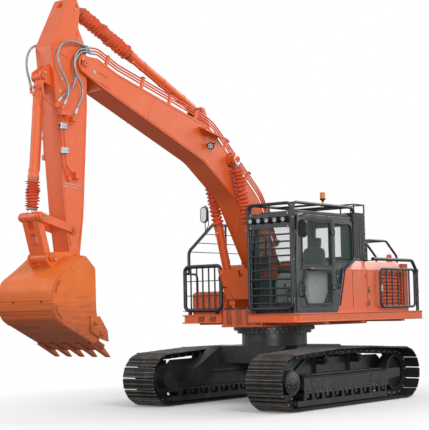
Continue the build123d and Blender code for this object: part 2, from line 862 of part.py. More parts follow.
def seat():
    base = block(60, 520, 700, 1110, cab_floor + 50, cab_floor + 280)
    cushion = block(20, 560, 665, 1145, cab_floor + 280, cab_floor + 420)
    cushion = fillet(cushion.edges(), 45)
    back = side_outline([(30, 2010, 40), (150, 2010, 40), (70, 2700, 60), (-90, 2700, 60)],
                        685, 1125)
    return base + cushion + back


def consoles():
    pieces = []
    for y in (600, 1210):
        pod = side_outline([(120, 1650), (620, 1650), (700, 2180, 60), (640, 2260, 60),
                            (120, 2260, 60)], y - 45, y + 45)
        pod += rod_between((620, y, 2230), (650, y, 2420), 14)
        pod += Pos(652, y, 2440) * Cylinder(26, 90)
        pieces.append(pod)
    return pieces


save("cab_shell", with_door_hinges(cab_shell()))
save("cab_glass", *cab_glass())
save("cab_door", door_leaf())
save("door_glass", *door_glass())
save("roof_guard", roof_guard())
save("front_guard", front_guard())
save("work_lamps", *work_lamps())
save("cab_interior", seat(), *consoles())


# ---- guards, rails, mirrors and lids on the upper frame -------------------------------
guard_x = 905
guard_low = -1305
guard_high = -475
guard_tube = 35
guard_bars = 5
rail_y = -1270
rail_tube = 29
rail_knee = (830, rail_y, 2700)
rail_crest = (140, rail_y, 3215)
guard_bottom = 1640
guard_crest = 2420
guard_bar = 15
side_bar = 16
side_door_tube = 23
side_door_top = 2330
side_bars = 5
side_tube_y = 1400
side_tube_z = 2504
side_post_x = -2680
side_tube = 31
side_hinge = (-2628, 1400)
side_hinge_heights = (1780, 2190)
side_door_front = -1380
side_door_rear = -2590


def right_guards():
    """Barred guard before the tool box and the rail that climbs to the tank top."""
    guard = ring_tube([(guard_x, guard_low, guard_bottom), (guard_x, guard_high, guard_bottom),
                       (guard_x, guard_high, guard_crest), (guard_x, guard_low, guard_crest)],
                      guard_tube, 90)
    pitch = (guard_high - guard_low) / (guard_bars + 1)
    for i in range(guard_bars):
        y = guard_low + pitch * (i + 1)
        guard += rod_between((guard_x, y, guard_bottom), (guard_x, y, guard_crest), guard_bar)
    for z in (1900, 2160):
        guard += rod_between((guard_x, guard_low, z), (guard_x, guard_high, z), 8)
    for y in (guard_low + 110, guard_high - 110):
        guard += block(guard_x - 25, guard_x + 25, y - 25, y + 25, deck_top, guard_bottom)
    guard += bent_tube([(guard_x, guard_low, 2300), (560, guard_low, 2300),
                        (560, guard_low, deck_top)], 20, 90)
    top = [(830, rail_y, 2290), rail_knee, rail_crest, (-760, rail_y, 3240),
           (-760, rail_y, 2380)]
    guard += bent_tube(top, rail_tube, 150)
    guard += block(800, 860, guard_low, rail_y, 2285, 2315)
    guard += rod_between((-250, rail_y, 3226), (-250, rail_y, 2380), 20)
    for x in (-760, -250):
        guard += block(x - 25, x + 25, rail_y - 25, -right_panel_out, 2360, 2440)
    for z, front in ((2700, 815), (2870, 600), (3040, 372)):
        guard += rod_between((-760, rail_y, z), (front, rail_y, z), 8)
    return guard


def oval(x, y, z, width, height, thick):
    plane = Plane(origin=(x, y, z), x_dir=(0, 0, 1), z_dir=(1, 0, 0))
    return extrude(plane * SlotOverall(height, width), amount=thick)


def mirrors():
    """Mirror heads with their arms: on the front hoop and on the right rail."""
    left = oval(1165, 1500, 2950, 170, 300, 40)
    left += rod_between((1185, 1500, 2950), (post_x, hoop_left, 2950), 9)
    left -= upright(post_x, hoop_left, post_radius, 2800, 3100)
    right = oval(330, rail_y - 20, 3400, 165, 300, 40)
    right += rod_between((350, rail_y, 3300), (350, rail_y, 3070), 9)
    return [left, right - rod_between(rail_knee, rail_crest, rail_tube)]


def beacon():
    lamp = upright(-170, 1000, 30, hoop_top, hoop_top + 30)
    lamp -= rod_between((-170, 900, hoop_top), (-170, 1100, hoop_top), 20)
    lamp += upright(-170, 1000, 13, hoop_top + 29, 3550)
    return lamp + upright(-170, 1000, 48, 3545, 3670)


def filter_box():
    """Tall bolted box behind the cab with an open frame over it."""
    box = block(-1220, -860, 900, 1200, hood_top, 3340)
    for x in (-1220, -880):
        for y in (900, 1180):
            box += block(x, x + 20, y, y + 20, 3335, 3500)
    top = block(-1220, -860, 900, 1200, 3480, 3500)
    return box + top - block(-1200, -880, 920, 1180, 3470, 3510)


def rear_guards():
    """Rails over the hood and the tube frame along the rear left side."""
    guard = None
    for y in (650, 1100):
        rail = bent_tube([(-1400, y, hood_top), (-1400, y, 2870), (-2100, y, 2870),
                          (-2480, y, 2590), (-2480, y, hood_top - 30)], 22, 110)
        guard = rail if guard is None else guard + rail
    for x in (-1560, -2040):
        guard += rod_between((x, 650, 2870), (x, 1100, 2870), 20)
    frame = bent_tube([(-1120, side_tube_y, side_tube_z), (-2520, side_tube_y, side_tube_z),
                       (side_post_x, side_tube_y, 2300), (side_post_x, side_tube_y, deck_top)],
                      side_tube, 120)
    frame += block(-1170, -1120, 1200, side_tube_y, hood_top, hood_top + 12)
    frame += block(-1170, -1120, side_tube_y - 12, side_tube_y + 12, hood_top, side_tube_z)
    x, y = side_hinge
    for z in side_hinge_heights:
        frame += upright(x, y, hinge_pin, z - 45, z + 45)
        for low in (z - 46, z + 29):
            frame += upright(x, y, knuckle_radius, low, low + 17)
            frame += block(side_post_x, x, y - 10, y + 10, low, low + 17)
    return guard, frame


def guard_door():
    door = ring_tube([(side_door_front, side_tube_y, guard_bottom),
                      (side_door_rear, side_tube_y, guard_bottom),
                      (side_door_rear, side_tube_y, side_door_top),
                      (side_door_front, side_tube_y, side_door_top)], side_door_tube, 90)
    pitch = (side_door_front - side_door_rear) / (side_bars + 1)
    for i in range(side_bars):
        x = side_door_rear + pitch * (i + 1)
        door += rod_between((x, side_tube_y, guard_bottom), (x, side_tube_y, side_door_top),
                            side_bar)
    x, y = side_hinge
    for z in side_hinge_heights:
        strap = block(x, side_door_rear, y - 6, y + 6, z - 28, z + 28)
        strap += upright(x, y, knuckle_radius, z - 28, z + 28)
        door += strap - upright(x, y, hinge_pin + pin_clearance, z - 40, z + 40)
    return door


def hood():
    """Crowned lid over the engine, open beneath, with knuckles at its front edge."""
    low = hood_top + 6
    outer = [(-hood_half, low), (-hood_half, low + 24), (-hood_half + 75, low + 64, 60),
             (hood_half - 75, low + 64, 60), (hood_half, low + 24), (hood_half, low)]
    inner = [(-hood_half + 20, low - 5), (-hood_half + 20, low + 14),
             (-hood_half + 90, low + 50, 60), (hood_half - 90, low + 50, 60),
             (hood_half - 20, low + 14), (hood_half - 20, low - 5)]
    lid = front_outline(outer, hood_rear, hood_front)
    lid -= front_outline(inner, hood_rear + 20, hood_front - 20)
    x, z = hood_hinge
    for y in hood_knuckles:
        strap = block(hood_front - 5, x, y - 28, y + 28, low + 8, low + 20)
        strap += cross_pin(hood_hinge, knuckle_radius, y - 28, y + 28)
        lid += strap - cross_pin(hood_hinge, hinge_pin + pin_clearance, y - 60, y + 60)
    return lid


def pump_door():
    out = -right_panel_out
    leaf = block(pump_door_rear + door_gap, pump_door_front - door_gap, out, out + 26,
                 pump_door_low + door_gap, pump_door_high - door_gap)
    x, y = pump_hinge
    for z in pump_hinge_heights:
        strap = block(x - 60, x, y - 5, y + 5, z - 28, z + 28)
        strap += block(x - 60, x - 30, y, out + 5, z - 28, z + 28)
        strap += upright(x, y, knuckle_radius, z - 28, z + 28)
        leaf += strap - upright(x, y, hinge_pin + pin_clearance, z - 40, z + 40)
    return leaf


save("right_guards", right_guards())
save("mirrors", *mirrors())
save("beacon", beacon())
save("filter_box", filter_box())
save("rear_guards", *rear_guards())
save("guard_door", guard_door())
save("hood", hood())
save("pump_door", pump_door())


# ---- boom --------------------------------------------------------------------------
boom_side = [
    (boom_tip[0] + 60, boom_tip[1] + 112, 40), (4600, 5448, 80), (4180, 5278, 400),
    (1960, 4690, 900), (640, 3560, 700), (20, 2330, 80), (110, 2052, 80),
    (250, 2075, 100), (650, 2490, 500), (1280, 3500, 900), (2150, 4110, 900),
    (4470, 5000, 150), (4960, 5215, 60),
]
nose_radius = 128
foot_radius = 150
fork_depth = 420
bore_radius = pin_radius + pin_clearance
link_pin_radius = 40
small_pin = 35
boss_reach = boom_cyl_side - 62
foot_lug_inner = 80
foot_lug_outer = 112


def boom():
    """Gooseneck box with a forked nose, foot boss and cylinder bosses."""
    face = rounded_face(boom_side)
    body = across(face, -boom_half_width, boom_half_width)
    body += cross_pin(boom_tip, nose_radius, -boom_half_width, boom_half_width)
    body += cross_pin(boom_foot, foot_radius, -boom_half_width, boom_half_width)
    body += cross_pin(boom_cyl_eye, 95, -boss_reach, boss_reach)
    wall = plate_thickness
    inside = offset(face, amount=-wall, kind=Kind.INTERSECTION)
    room = across(inside, -boom_half_width + wall, boom_half_width - wall)
    room &= block(500, boom_tip[0] - fork_depth - 40, -1000, 1000, 2400, 6000)
    body -= room
    gap = arm_half_width + side_clearance + 4
    body -= block(boom_tip[0] - fork_depth, boom_tip[0] + 400, -gap, gap, 4500, 6000)
    body -= cross_pin(boom_foot, bore_radius, -300, 300)
    x, z = arm_cyl_foot
    for side in (-1, 1):
        low = min(side * foot_lug_inner, side * foot_lug_outer)
        body += side_outline([
            (x - 260, z - 400), (x - 75, z + 70, 70), (x + 75, z + 70, 70),
            (x + 260, z - 280),
        ], low, low + foot_lug_outer - foot_lug_inner)
    body += cross_pin(arm_cyl_foot, small_pin, -foot_lug_outer - 8, foot_lug_outer + 8)
    body += cross_pin(boom_tip, pin_radius, -boom_half_width - 18, boom_half_width + 18)
    return body


# ---- arm -----------------------------------------------------------------------------
arm_side = [
    (5000, 6325, 50), (5120, 6290, 60), (5515, 5520, 150), (5440, 4900, 900),
    (5262, 3050, 600), (5168, 2440, 30), (5060, 2370, 60), (4975, 2440, 30),
    (4888, 3050, 600), (4790, 4700, 800), (4800, 5560, 300), (5010, 5960, 200),
    (5060, 6120, 60), (4960, 6240, 30),
]
arm_boss_radius = 148
arm_end_radius = 96
lug_inner = 58
lug_outer = 92


def arm():
    """Stick: a box with a boss at the boom, rear lugs, cylinder lugs and an end boss."""
    face = rounded_face(arm_side)
    half = arm_half_width
    body = across(face, -half, half)
    inside = offset(face, amount=-plate_thickness, kind=Kind.INTERSECTION)
    room = across(inside, -half + plate_thickness, half - plate_thickness)
    room &= block(4000, 6000, -1000, 1000, 3030, 5000) + block(
        4000, 6000, -1000, 1000, 5560, 6060)
    body -= room
    body += cross_pin(boom_tip, arm_boss_radius, -half, half)
    body += cross_pin(bucket_pin, arm_end_radius, -half, half)
    body -= cross_pin(boom_tip, bore_radius, -half - 5, half + 5)
    body -= cross_pin(bucket_pin, link_pin_radius + pin_clearance, -half - 5, half + 5)
    ux, uz = arm_cyl_eye
    qx, qz = bucket_cyl_foot
    width = lug_outer - lug_inner
    for side in (-1, 1):
        low = min(side * lug_inner, side * lug_outer)
        body += side_outline([
            (ux - 78, uz - 20, 60), (ux - 20, uz + 78, 60), (5080, 6290), (5140, 6000),
            (4900, 5800), (ux - 78, uz - 90, 30),
        ], low, low + width)
        body += side_outline([
            (5400, qz + 260), (qx + 60, qz + 70, 60), (qx + 70, qz - 50, 60),
            (5400, qz - 130),
        ], low, low + width)
    body -= block(ux - 300, 5060, -lug_inner, lug_inner, uz - 230, uz + 200)
    body -= block(5055, 5130, -lug_inner, lug_inner, uz - 160, uz + 200)
    body -= block(5125, 5300, -lug_inner, lug_inner, uz - 70, uz + 200)
    body += cross_pin(bucket_cyl_foot, small_pin, -lug_outer - 15, lug_outer + 15)
    body += cross_pin(side_link_pin, small_pin, -half - 45, half + 45)
    return body


# ---- bucket and its links ----------------------------------------------------------------
bucket_half_width = 565
bucket_wall = 22
bucket_side = [
    (5055, 2270, 60), (5240, 2438, 30), (5330, 2452, 60), (5560, 2280, 200),
    (5905, 2060, 260), (5890, 1570, 260), (4920, 1095), (4990, 1240), (5045, 1700, 60),
]
mouth_side = [
    (4300, 2250), (5150, 2250), (5190, 2330), (5300, 2330), (5300, 1285), (4960, 1125),
    (4300, 1125),
]
ear_inner = arm_half_width + side_clearance
ear_outer = ear_inner + 34
side_cutter = [(5180, 1590), (4990, 1580, 20), (4840, 1370, 30), (4820, 1215, 10), (4980, 1262),
               (5170, 1365)]
cutter_plate = 22
tooth_count = 5
tooth_pitch = 265


def bucket():
    """Curved shell, side walls, ears, lip and teeth."""
    face = rounded_face(bucket_side)
    half = bucket_half_width
    inside = offset(face, amount=-bucket_wall, kind=Kind.INTERSECTION)
    body = across(face, -half, half)
    body -= across(inside + rounded_face(mouth_side), -half + bucket_wall,
                   half - bucket_wall)
    bx, bz = bucket_pin
    ex, ez = ear_pin
    for side in (-1, 1):
        low = min(side * ear_inner, side * ear_outer)
        ear = side_outline([
            (bx - 96, bz - 20, 80), (bx - 40, bz + 88, 70), (bx + 50, bz + 84, 60),
            (ex - 60, ez + 80, 60), (ex + 80, ez + 60, 70), (ex + 80, ez - 60, 60),
            (5560, 2275), (5240, 2300), (bx, bz - 190), (bx - 70, bz - 110, 60),
        ], low, low + ear_outer - ear_inner)
        body += ear - across(inside, low, low + 100)
        low = min(side * (half - 2), side * (half + cutter_plate))
        body += side_outline(side_cutter, low, low + cutter_plate + 2)
    body += cross_pin(bucket_pin, link_pin_radius, -ear_outer - 15, ear_outer + 15)
    body += cross_pin(ear_pin, link_pin_radius, -ear_outer - 15, ear_outer + 15)
    for i in range(tooth_count):
        y = (i - (tooth_count - 1) / 2) * tooth_pitch
        body += side_outline([
            (5160, 1190), (4780, 985, 8), (4775, 1000, 5), (4935, 1165), (5020, 1240),
        ], y - 45, y + 45)
    return body


link_half = 160
link_end_radius = 72
link_web = 52
link_length = math.hypot(link_pin[0] - ear_pin[0], link_pin[1] - ear_pin[1])
side_link_length = math.hypot(link_pin[0] - side_link_pin[0], link_pin[1] - side_link_pin[1])
arm_eye_half = 50
fork_gap = 8
fork_radius = 170


def bar_outline(start, end, length, half_width):
    """The side-view rectangle along a link."""
    return [along(start, end, 0, -half_width), along(start, end, length, -half_width),
            along(start, end, length, half_width), along(start, end, 0, half_width)]


def h_link():
    """Forked link between the bucket ears and the side links, with its oval hole."""
    link = cross_pin(link_pin, link_end_radius, -link_half, link_half)
    link += cross_pin(ear_pin, link_end_radius, -link_half, link_half)
    link += side_outline(bar_outline(ear_pin, link_pin, link_length, link_web),
                         -link_half, link_half)
    link -= cross_pin(link_pin, fork_radius, -arm_eye_half - fork_gap,
                      arm_eye_half + fork_gap)
    middle = along(ear_pin, link_pin, 275)
    rise = (link_pin[0] - ear_pin[0], 0, link_pin[1] - ear_pin[1])
    hole_plane = Plane(origin=(middle[0], 0, middle[1]), x_dir=rise,
                       z_dir=(rise[2], 0, -rise[0]))
    link -= extrude(hole_plane * SlotOverall(190, 120), amount=90, both=True)
    return link - cross_pin(ear_pin, link_pin_radius + pin_clearance, -300, 300)


def side_links():
    links = []
    inner = arm_half_width + side_clearance
    for side in (-1, 1):
        low = min(side * inner, side * (inner + 30))
        link = cross_pin(side_link_pin, 68, low, low + 30)
        link += cross_pin(link_pin, 68, low, low + 30)
        link += side_outline(bar_outline(side_link_pin, link_pin, side_link_length, 58),
                             low, low + 30)
        link -= cross_pin(side_link_pin, small_pin + pin_clearance, -300, 300)
        cap = min(side * (inner + 25), side * (inner + 50))
        links.append(link + cross_pin(link_pin, 45, cap, cap + 25))
    return links


# ---- hydraulic cylinders -------------------------------------------------------------------
neck_start = 60
barrel_start = 125
gland_length = 130
boom_cylinder = {"radius": 72, "rod_radius": 42, "barrel": 1400, "rod": 1682,
                 "foot_half": 55, "eye_half": 50, "foot_pin": pin_radius, "eye_radius": 82,
                 "sleeve": 86, "bare": 30}
arm_cylinder = {"radius": 75, "rod_radius": 45, "barrel": 1800, "rod": 1823,
                "foot_half": 55, "eye_half": arm_eye_half, "foot_pin": small_pin,
                "eye_radius": 75, "sleeve": 90, "bare": 75}
bucket_cylinder = {"radius": 68, "rod_radius": 40, "barrel": 1480, "rod": 1611,
                   "foot_half": 52, "eye_half": arm_eye_half, "foot_pin": small_pin,
                   "eye_radius": 68, "sleeve": 84, "bare": 30}


def cylinder_parts(foot, eye, y, sizes):
    """Barrel, rod and sleeve of one cylinder lying from foot to eye at a width.

    Lengths are from the foot pin, except the rod's, which is from its eye to the
    inner face of its piston.
    """
    direction = (eye[0] - foot[0], 0, eye[1] - foot[1])
    length = math.hypot(direction[0], direction[2])
    axis = Plane(origin=(foot[0], y, foot[1]), x_dir=(0, 1, 0), z_dir=direction)

    def bar(radius, start, end):
        return extrude(axis.offset(start) * Circle(radius), amount=end - start)

    radius = sizes["radius"]
    bore = radius - 12
    rod_radius = sizes["rod_radius"]
    eye_radius = sizes["eye_radius"]
    end = sizes["barrel"]
    barrel = bar(radius, barrel_start, end - gland_length)
    barrel += bar(radius + 9, end - gland_length, end)
    barrel += bar(radius - 15, neck_start, barrel_start + 1)
    barrel -= bar(bore, barrel_start + 50, end - 90)
    barrel -= bar(rod_radius + pin_clearance, end - 95, end + 5)
    foot_half = sizes["foot_half"]
    barrel += cross_pin(foot, eye_radius, y - foot_half, y + foot_half)
    barrel -= cross_pin(foot, sizes["foot_pin"] + pin_clearance, y - 300, y + 300)
    piston = length - sizes["rod"]
    rod = bar(rod_radius, piston + 5, length - eye_radius + 20)
    rod += bar(bore - pin_clearance, piston, piston + 80)
    eye_half = sizes["eye_half"]
    rod += cross_pin(eye, eye_radius, y - eye_half, y + eye_half)
    sleeve_end = length - eye_radius - sizes["bare"]
    sleeve = bar(sizes["sleeve"], end + 4, sleeve_end)
    sleeve -= bar(rod_radius, end, sleeve_end + 5)
    return barrel, rod, sleeve


cover_right = -440
cover_left = 368
cover_out = 128
cover_low = 110
cover_taper = 62
cover_high = 650
cover_plate = 6


def cylinder_cover():
    """Folded plate in front of both boom cylinders, on saddles across their barrels."""

    def at(distance, out):
        return along(boom_cyl_foot, boom_cyl_eye, distance, out)

    inner = cover_out - cover_plate
    cover = side_outline([at(cover_low, inner), at(cover_high, inner),
                          at(cover_high, cover_out), at(cover_low, cover_out)],
                         cover_right, cover_left)
    for low in (cover_right, cover_left - cover_plate):
        cover += side_outline([at(cover_low, inner), at(cover_high, inner),
                               at(cover_high, 40), at(cover_low + 140, 40)],
                              low, low + cover_plate)
    direction = (boom_cyl_eye[0] - boom_cyl_foot[0], 0, boom_cyl_eye[1] - boom_cyl_foot[1])
    across_cover = Plane(origin=(boom_cyl_foot[0], 0, boom_cyl_foot[1]), x_dir=direction,
                         z_dir=(direction[2], 0, -direction[0]))
    cover -= extrude(across_cover * make_face(Polyline(
        (cover_low - 1, 1 - cover_right), (cover_high, 1 - cover_right),
        (cover_low - 1, 1 - cover_right - cover_taper), close=True)), amount=cover_out + 1)
    for distance in (220, 560):
        bar = side_outline([at(distance, 20), at(distance, inner + 1),
                            at(distance + 50, inner + 1), at(distance + 50, 20)],
                           -boom_cyl_side - 50, boom_cyl_side + 50)
        bar -= side_outline([at(distance - 5, 10), at(distance - 5, 80),
                             at(distance + 55, 80), at(distance + 55, 10)],
                            -boom_cyl_side + 75, boom_cyl_side - 75)
        cover += bar
    for side in (-1, 1):
        axis = Plane(origin=(boom_cyl_foot[0], side * boom_cyl_side, boom_cyl_foot[1]),
                     x_dir=(0, 1, 0), z_dir=direction)
        cover -= extrude(axis * Circle(boom_cylinder["radius"]), amount=1000)
    return cover


# ---- hydraulic lines -------------------------------------------------------------------------
line_radius = 13
line_side = 190
line_heights = (64, 106, 148)
boom_back = [(20, 2330), (640, 3560), (1960, 4690), (4180, 5278), (4600, 5448), (4930, 5448)]
boom_bends = (700, 900, -400, 80)
line_start = 420
line_ends = (4660, 4690, 4730)
clamp_stations = ((0, 480), (0, 1080), (1, 480), (1, 1250), (2, 380), (2, 1050), (2, 1720), (3, 250))
hose_radius = 17
swing_reach = 840.8
fitting_radius = 21
branch_radius = 11


def raised(points, height):
    """The row of side-view points moved out to the left of its direction."""
    lines = []
    for a, b in zip(points, points[1:]):
        length = math.hypot(b[0] - a[0], b[1] - a[1])
        ux, uz = (b[0] - a[0]) / length, (b[1] - a[1]) / length
        lines.append((a[0] - uz * height, a[1] + ux * height, ux, uz))
    first, last = lines[0], lines[-1]
    moved = [(first[0], first[1])]
    for (ax, az, aux, auz), (bx, bz, bux, buz) in zip(lines, lines[1:]):
        t = ((bx - ax) * buz - (bz - az) * bux) / (aux * buz - auz * bux)
        moved.append((ax + aux * t, az + auz * t))
    length = math.hypot(points[-1][0] - points[-2][0], points[-1][1] - points[-2][1])
    moved.append((last[0] + last[2] * length, last[1] + last[3] * length))
    return moved


def boom_line(side, height, end):
    """One steel line from the back of the boom to its nose, above the top plate."""
    row = raised(boom_back, height)
    row[0] = along(row[0], row[1], line_start)
    row[-1] = (end, row[-1][1])
    bends = [abs(bend + height) for bend in boom_bends]
    path = FilletPolyline(*[(x, side * line_side, z) for x, z in row], radius=bends)
    return sweep(Plane(origin=path @ 0, z_dir=path % 0) * Circle(line_radius), path=path)


def boom_clamp(side, heights, leg, station):
    """A stack of clamp halves on the top plate round the lines."""
    start, end = boom_back[leg], boom_back[leg + 1]
    top = -heights[-1] - 24
    low = side * line_side - 18
    return side_outline([along(start, end, station - 24), along(start, end, station + 24),
                         along(start, end, station + 24, top),
                         along(start, end, station - 24, top)], low, low + 36)


def boom_pipes():
    bundles = []
    for side, heights in ((1, line_heights), (-1, line_heights[:1])):
        bundle = boom_line(side, heights[0], line_ends[0])
        for height, end in zip(heights[1:], line_ends[1:]):
            bundle += boom_line(side, height, end)
        for leg, station in clamp_stations:
            bundle += boom_clamp(side, heights, leg, station)
        bundles.append(bundle)
    return bundles


def hose_path(points):
    """The route's runs, joined by the largest arcs that each pair of runs allows."""
    rows = [Vector(*point) for point in points]
    radii = []
    for before, here, after in zip(rows, rows[1:], rows[2:]):
        arrive, leave = here - before, after - here
        half_turn = math.radians(arrive.get_angle(leave)) / 2
        radii.append(0.45 * min(arrive.length, leave.length) / math.tan(half_turn))
    return FilletPolyline(*rows, radius=radii), radii


def hose(name, points):
    path, radii = hose_path(points)
    tube = sweep(Plane(origin=path @ 0, z_dir=path % 0) * Circle(hose_radius), path=path)
    section = math.pi * hose_radius ** 2
    print(name, "length", round(path.length), "section x length / volume",
          round(section * path.length / tube.volume, 3), "radii",
          [round(radius) for radius in radii])
    return tube


def swing_point(degrees, reach, y):
    """The point at a distance from the arm pivot, below and ahead of it."""
    angle = math.radians(degrees)
    return (boom_tip[0] + reach * math.cos(angle), y, boom_tip[1] - reach * math.sin(angle))


arm_port_a = (55.4, 250)
arm_port_b = (73, 250)
arm_port_c = (50, 205)
arm_port_e = (50, -260)
port_gap = 8
line_tops = [boom_back[-1][1] + height for height in line_heights]


def hose_start(line, side, reach):
    """The end of a boom line and the hose's next point, straight out of it."""
    x, y, z = line_ends[line], side * line_side, line_tops[line]
    return [(x, y, z), (x + reach, y, z)]


def hose_end(arm_port, reach):
    """The hose's last two points, square to the face of an arm fitting."""
    degrees, y = arm_port
    end = swing_reach - port_gap
    return [swing_point(degrees, end - reach, y), swing_point(degrees, end, y)]


hose_routes = {
    "hose_a": [
        *hose_start(2, 1, 120), (4985, 212, 5618), (5135, 240, 5622), (5290, 250, 5592),
        (5418, 250, 5500), (5468, 250, 5350), (5420, 250, 5190), (5320, 250, 5050),
        (5237, 250, 4911), *hose_end(arm_port_a, 138),
    ],
    "hose_b": [
        *hose_start(1, 1, 118), (4938, 212, 5548), (5050, 238, 5485), (5120, 250, 5375),
        (5125, 250, 5240), (5072, 250, 5110), (4975, 250, 4990), (4958, 250, 4865),
        (5000, 250, 4750), *hose_end(arm_port_b, 114),
    ],
    "hose_c": [
        *hose_start(0, 1, 115), (4908, 200, 5515), (5015, 205, 5435), (5074, 205, 5315),
        (5056, 205, 5180), (5070, 205, 5050), (5120, 205, 4935), (5210, 205, 4855),
        *hose_end(arm_port_c, 115),
    ],
    "hose_d": [
        (5340, -205, 5580), (5450, -205, 5580), (5560, -205, 5520), (5630, -205, 5410),
        (5655, -205, 5280), (5638, -203, 5150), (5600, -195, 5030), (5585, -188, 4922),
    ],
    "hose_e": [
        *hose_start(0, -1, 115), (4905, -215, 5505), (5015, -245, 5432),
        (5074, -260, 5315), (5056, -260, 5180), (5070, -260, 5050), (5120, -260, 4935),
        (5210, -260, 4855), *hose_end(arm_port_e, 115),
    ],
}


def port(degrees, y, reach):
    """Fitting whose face meets a hose end, pointing away from the arm pivot."""
    near = swing_point(degrees, swing_reach, y)
    far = swing_point(degrees, swing_reach + reach, y)
    return rod_between(near, far, fitting_radius)


def arm_pipes():
    """Fittings, lines, clamps and brackets on both sides of the arm."""
    face = arm_half_width
    lines = []
    left = port(*arm_port_a, 70) + port(*arm_port_b, 60) + port(*arm_port_c, 80)
    left += block(5230, 5400, face, arm_port_a[1] + 12, 4500, 4556)
    left += block(5080, 5180, face, arm_port_b[1] + 12, 4430, 4500)
    left += block(5380, 5480, face, arm_port_c[1] + 20, 4600, 4660)
    left += bent_tube([swing_point(55.4, swing_reach + 60, 250), (5390, 240, 4500),
                       (5350, 195, 4400), (5315, 195, 3950), (5300, 195, 3750),
                       (5200, 195, 3585)], branch_radius, 40)
    left += bent_tube([swing_point(73, swing_reach + 50, 250), (5140, 240, 4420),
                       (5290, 195, 4370), (5255, 195, 3950), (5245, 195, 3780),
                       (5070, 195, 3640)], branch_radius, 40)
    left += bent_tube([swing_point(50, swing_reach + 70, 205), (5560, 205, 4640),
                       (5670, 190, 4740), (5668, 160, 4850), (5668, 118, 4900)],
                      branch_radius, 40)
    left += block(5600, 5700, lug_outer, lug_outer + 12, 4860, 4985)
    left += rod_between((5668, lug_outer + 11, 4905), (5668, 140, 4905), 20)
    for z in (4345, 3990):
        middle = 5319 - (4345 - z) * 0.1
        left += block(middle - 66, middle + 66, face, 222, z - 26, z + 26)
    left += block(5010, 5110, face, 245, 3590, 3690)
    left += block(5170, 5225, face, 212, 3560, 3610)
    lines.append(left)
    right = port(*arm_port_e, 80)
    right += block(5380, 5480, arm_port_e[1] - 20, -face, 4600, 4660)
    right += bent_tube([swing_point(50, swing_reach + 70, -260), (5430, -225, 4490),
                        (5350, -195, 4370), (5320, -195, 3900)], branch_radius, 40)
    right += block(5285, 5355, -212, -face, 3880, 3960)
    right += block(5285, 5355, -212, -face, 4180, 4230)
    lines.append(right)
    lines.append(block(5270, 5340, -226, -face, 5550, 5610))
    end = hose_routes["hose_d"][-1]
    way = hose_routes["hose_d"][-2]
    length = math.dist(end, way)
    run = [(e - w) / length for e, w in zip(end, way)]
    far = tuple(e + step * 60 for e, step in zip(end, run))
    drop = rod_between(end, far, fitting_radius)
    drop += block(5500, 5600, -196, -lug_outer, 4840, 4870)
    drop += block(5500, 5600, -lug_outer - 12, -lug_outer, 4840, 4985)
    lines.append(drop)
    return lines


boom_barrels = []
boom_rods = []
boom_sleeves = []
for side in (-1, 1):
    barrel, rod, sleeve = cylinder_parts(boom_cyl_foot, boom_cyl_eye, side * boom_cyl_side,
                                         boom_cylinder)
    boom_barrels.append(barrel)
    boom_rods.append(rod)
    boom_sleeves.append(sleeve)
save("boom_barrels", *boom_barrels)
save("boom_rods", *boom_rods)
save("boom_sleeves", *boom_sleeves)
save("cylinder_cover", cylinder_cover())
for name, foot, eye, sizes in (
    ("arm", arm_cyl_foot, arm_cyl_eye, arm_cylinder),
    ("bucket", bucket_cyl_foot, link_pin, bucket_cylinder),
):
    barrel, rod, sleeve = cylinder_parts(foot, eye, 0, sizes)
    save(f"{name}_barrel", barrel)
    save(f"{name}_rod", rod)
    save(f"{name}_sleeve", sleeve)
save("boom", boom())
save("arm", arm())
save("bucket", bucket())
save("boom_pipes", *boom_pipes())
save("arm_pipes", *arm_pipes())
for name, route in hose_routes.items():
    save(name, hose(name, route))
save("h_link", h_link())
save("side_links", *side_links())
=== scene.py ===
import math
import random
from itertools import product

import bmesh
import bpy
from mathutils import Matrix, Vector


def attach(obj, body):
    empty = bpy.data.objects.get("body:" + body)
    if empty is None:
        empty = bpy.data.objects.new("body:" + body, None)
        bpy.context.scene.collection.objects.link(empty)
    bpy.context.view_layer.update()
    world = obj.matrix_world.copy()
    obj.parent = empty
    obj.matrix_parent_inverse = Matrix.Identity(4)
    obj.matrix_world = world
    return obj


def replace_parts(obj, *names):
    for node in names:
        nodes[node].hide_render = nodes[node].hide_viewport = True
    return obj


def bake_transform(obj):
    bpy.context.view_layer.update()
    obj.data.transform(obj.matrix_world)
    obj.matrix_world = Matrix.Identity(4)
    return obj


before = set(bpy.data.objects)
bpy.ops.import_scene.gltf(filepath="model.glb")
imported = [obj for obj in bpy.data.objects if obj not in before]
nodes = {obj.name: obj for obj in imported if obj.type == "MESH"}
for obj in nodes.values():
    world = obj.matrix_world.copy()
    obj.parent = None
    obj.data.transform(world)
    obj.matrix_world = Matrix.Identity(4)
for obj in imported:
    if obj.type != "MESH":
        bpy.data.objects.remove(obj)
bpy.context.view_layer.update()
random.seed(7)

X, Y, Z = (1, 0, 0), (0, 1, 0), (0, 0, 1)
SIDES = (-1, 1)


# ---------------------------------------------------------------- materials
def colour(hexa):
    """Linear colour of a screen colour."""
    values = [int(hexa[i:i + 2], 16) / 255 for i in (0, 2, 4)]
    return [v / 12.92 if v < 0.04045 else ((v + 0.055) / 1.055) ** 2.4 for v in values] + [1]


def new_node(tree, kind, operation=None, **values):
    """Shader node with its inputs set; an underscore stands for a blank in their names."""
    node = tree.nodes.new("ShaderNode" + kind)
    if operation:
        node.operation = operation
    for key, value in values.items():
        node.inputs[key.replace("_", " ")].default_value = value
    return node


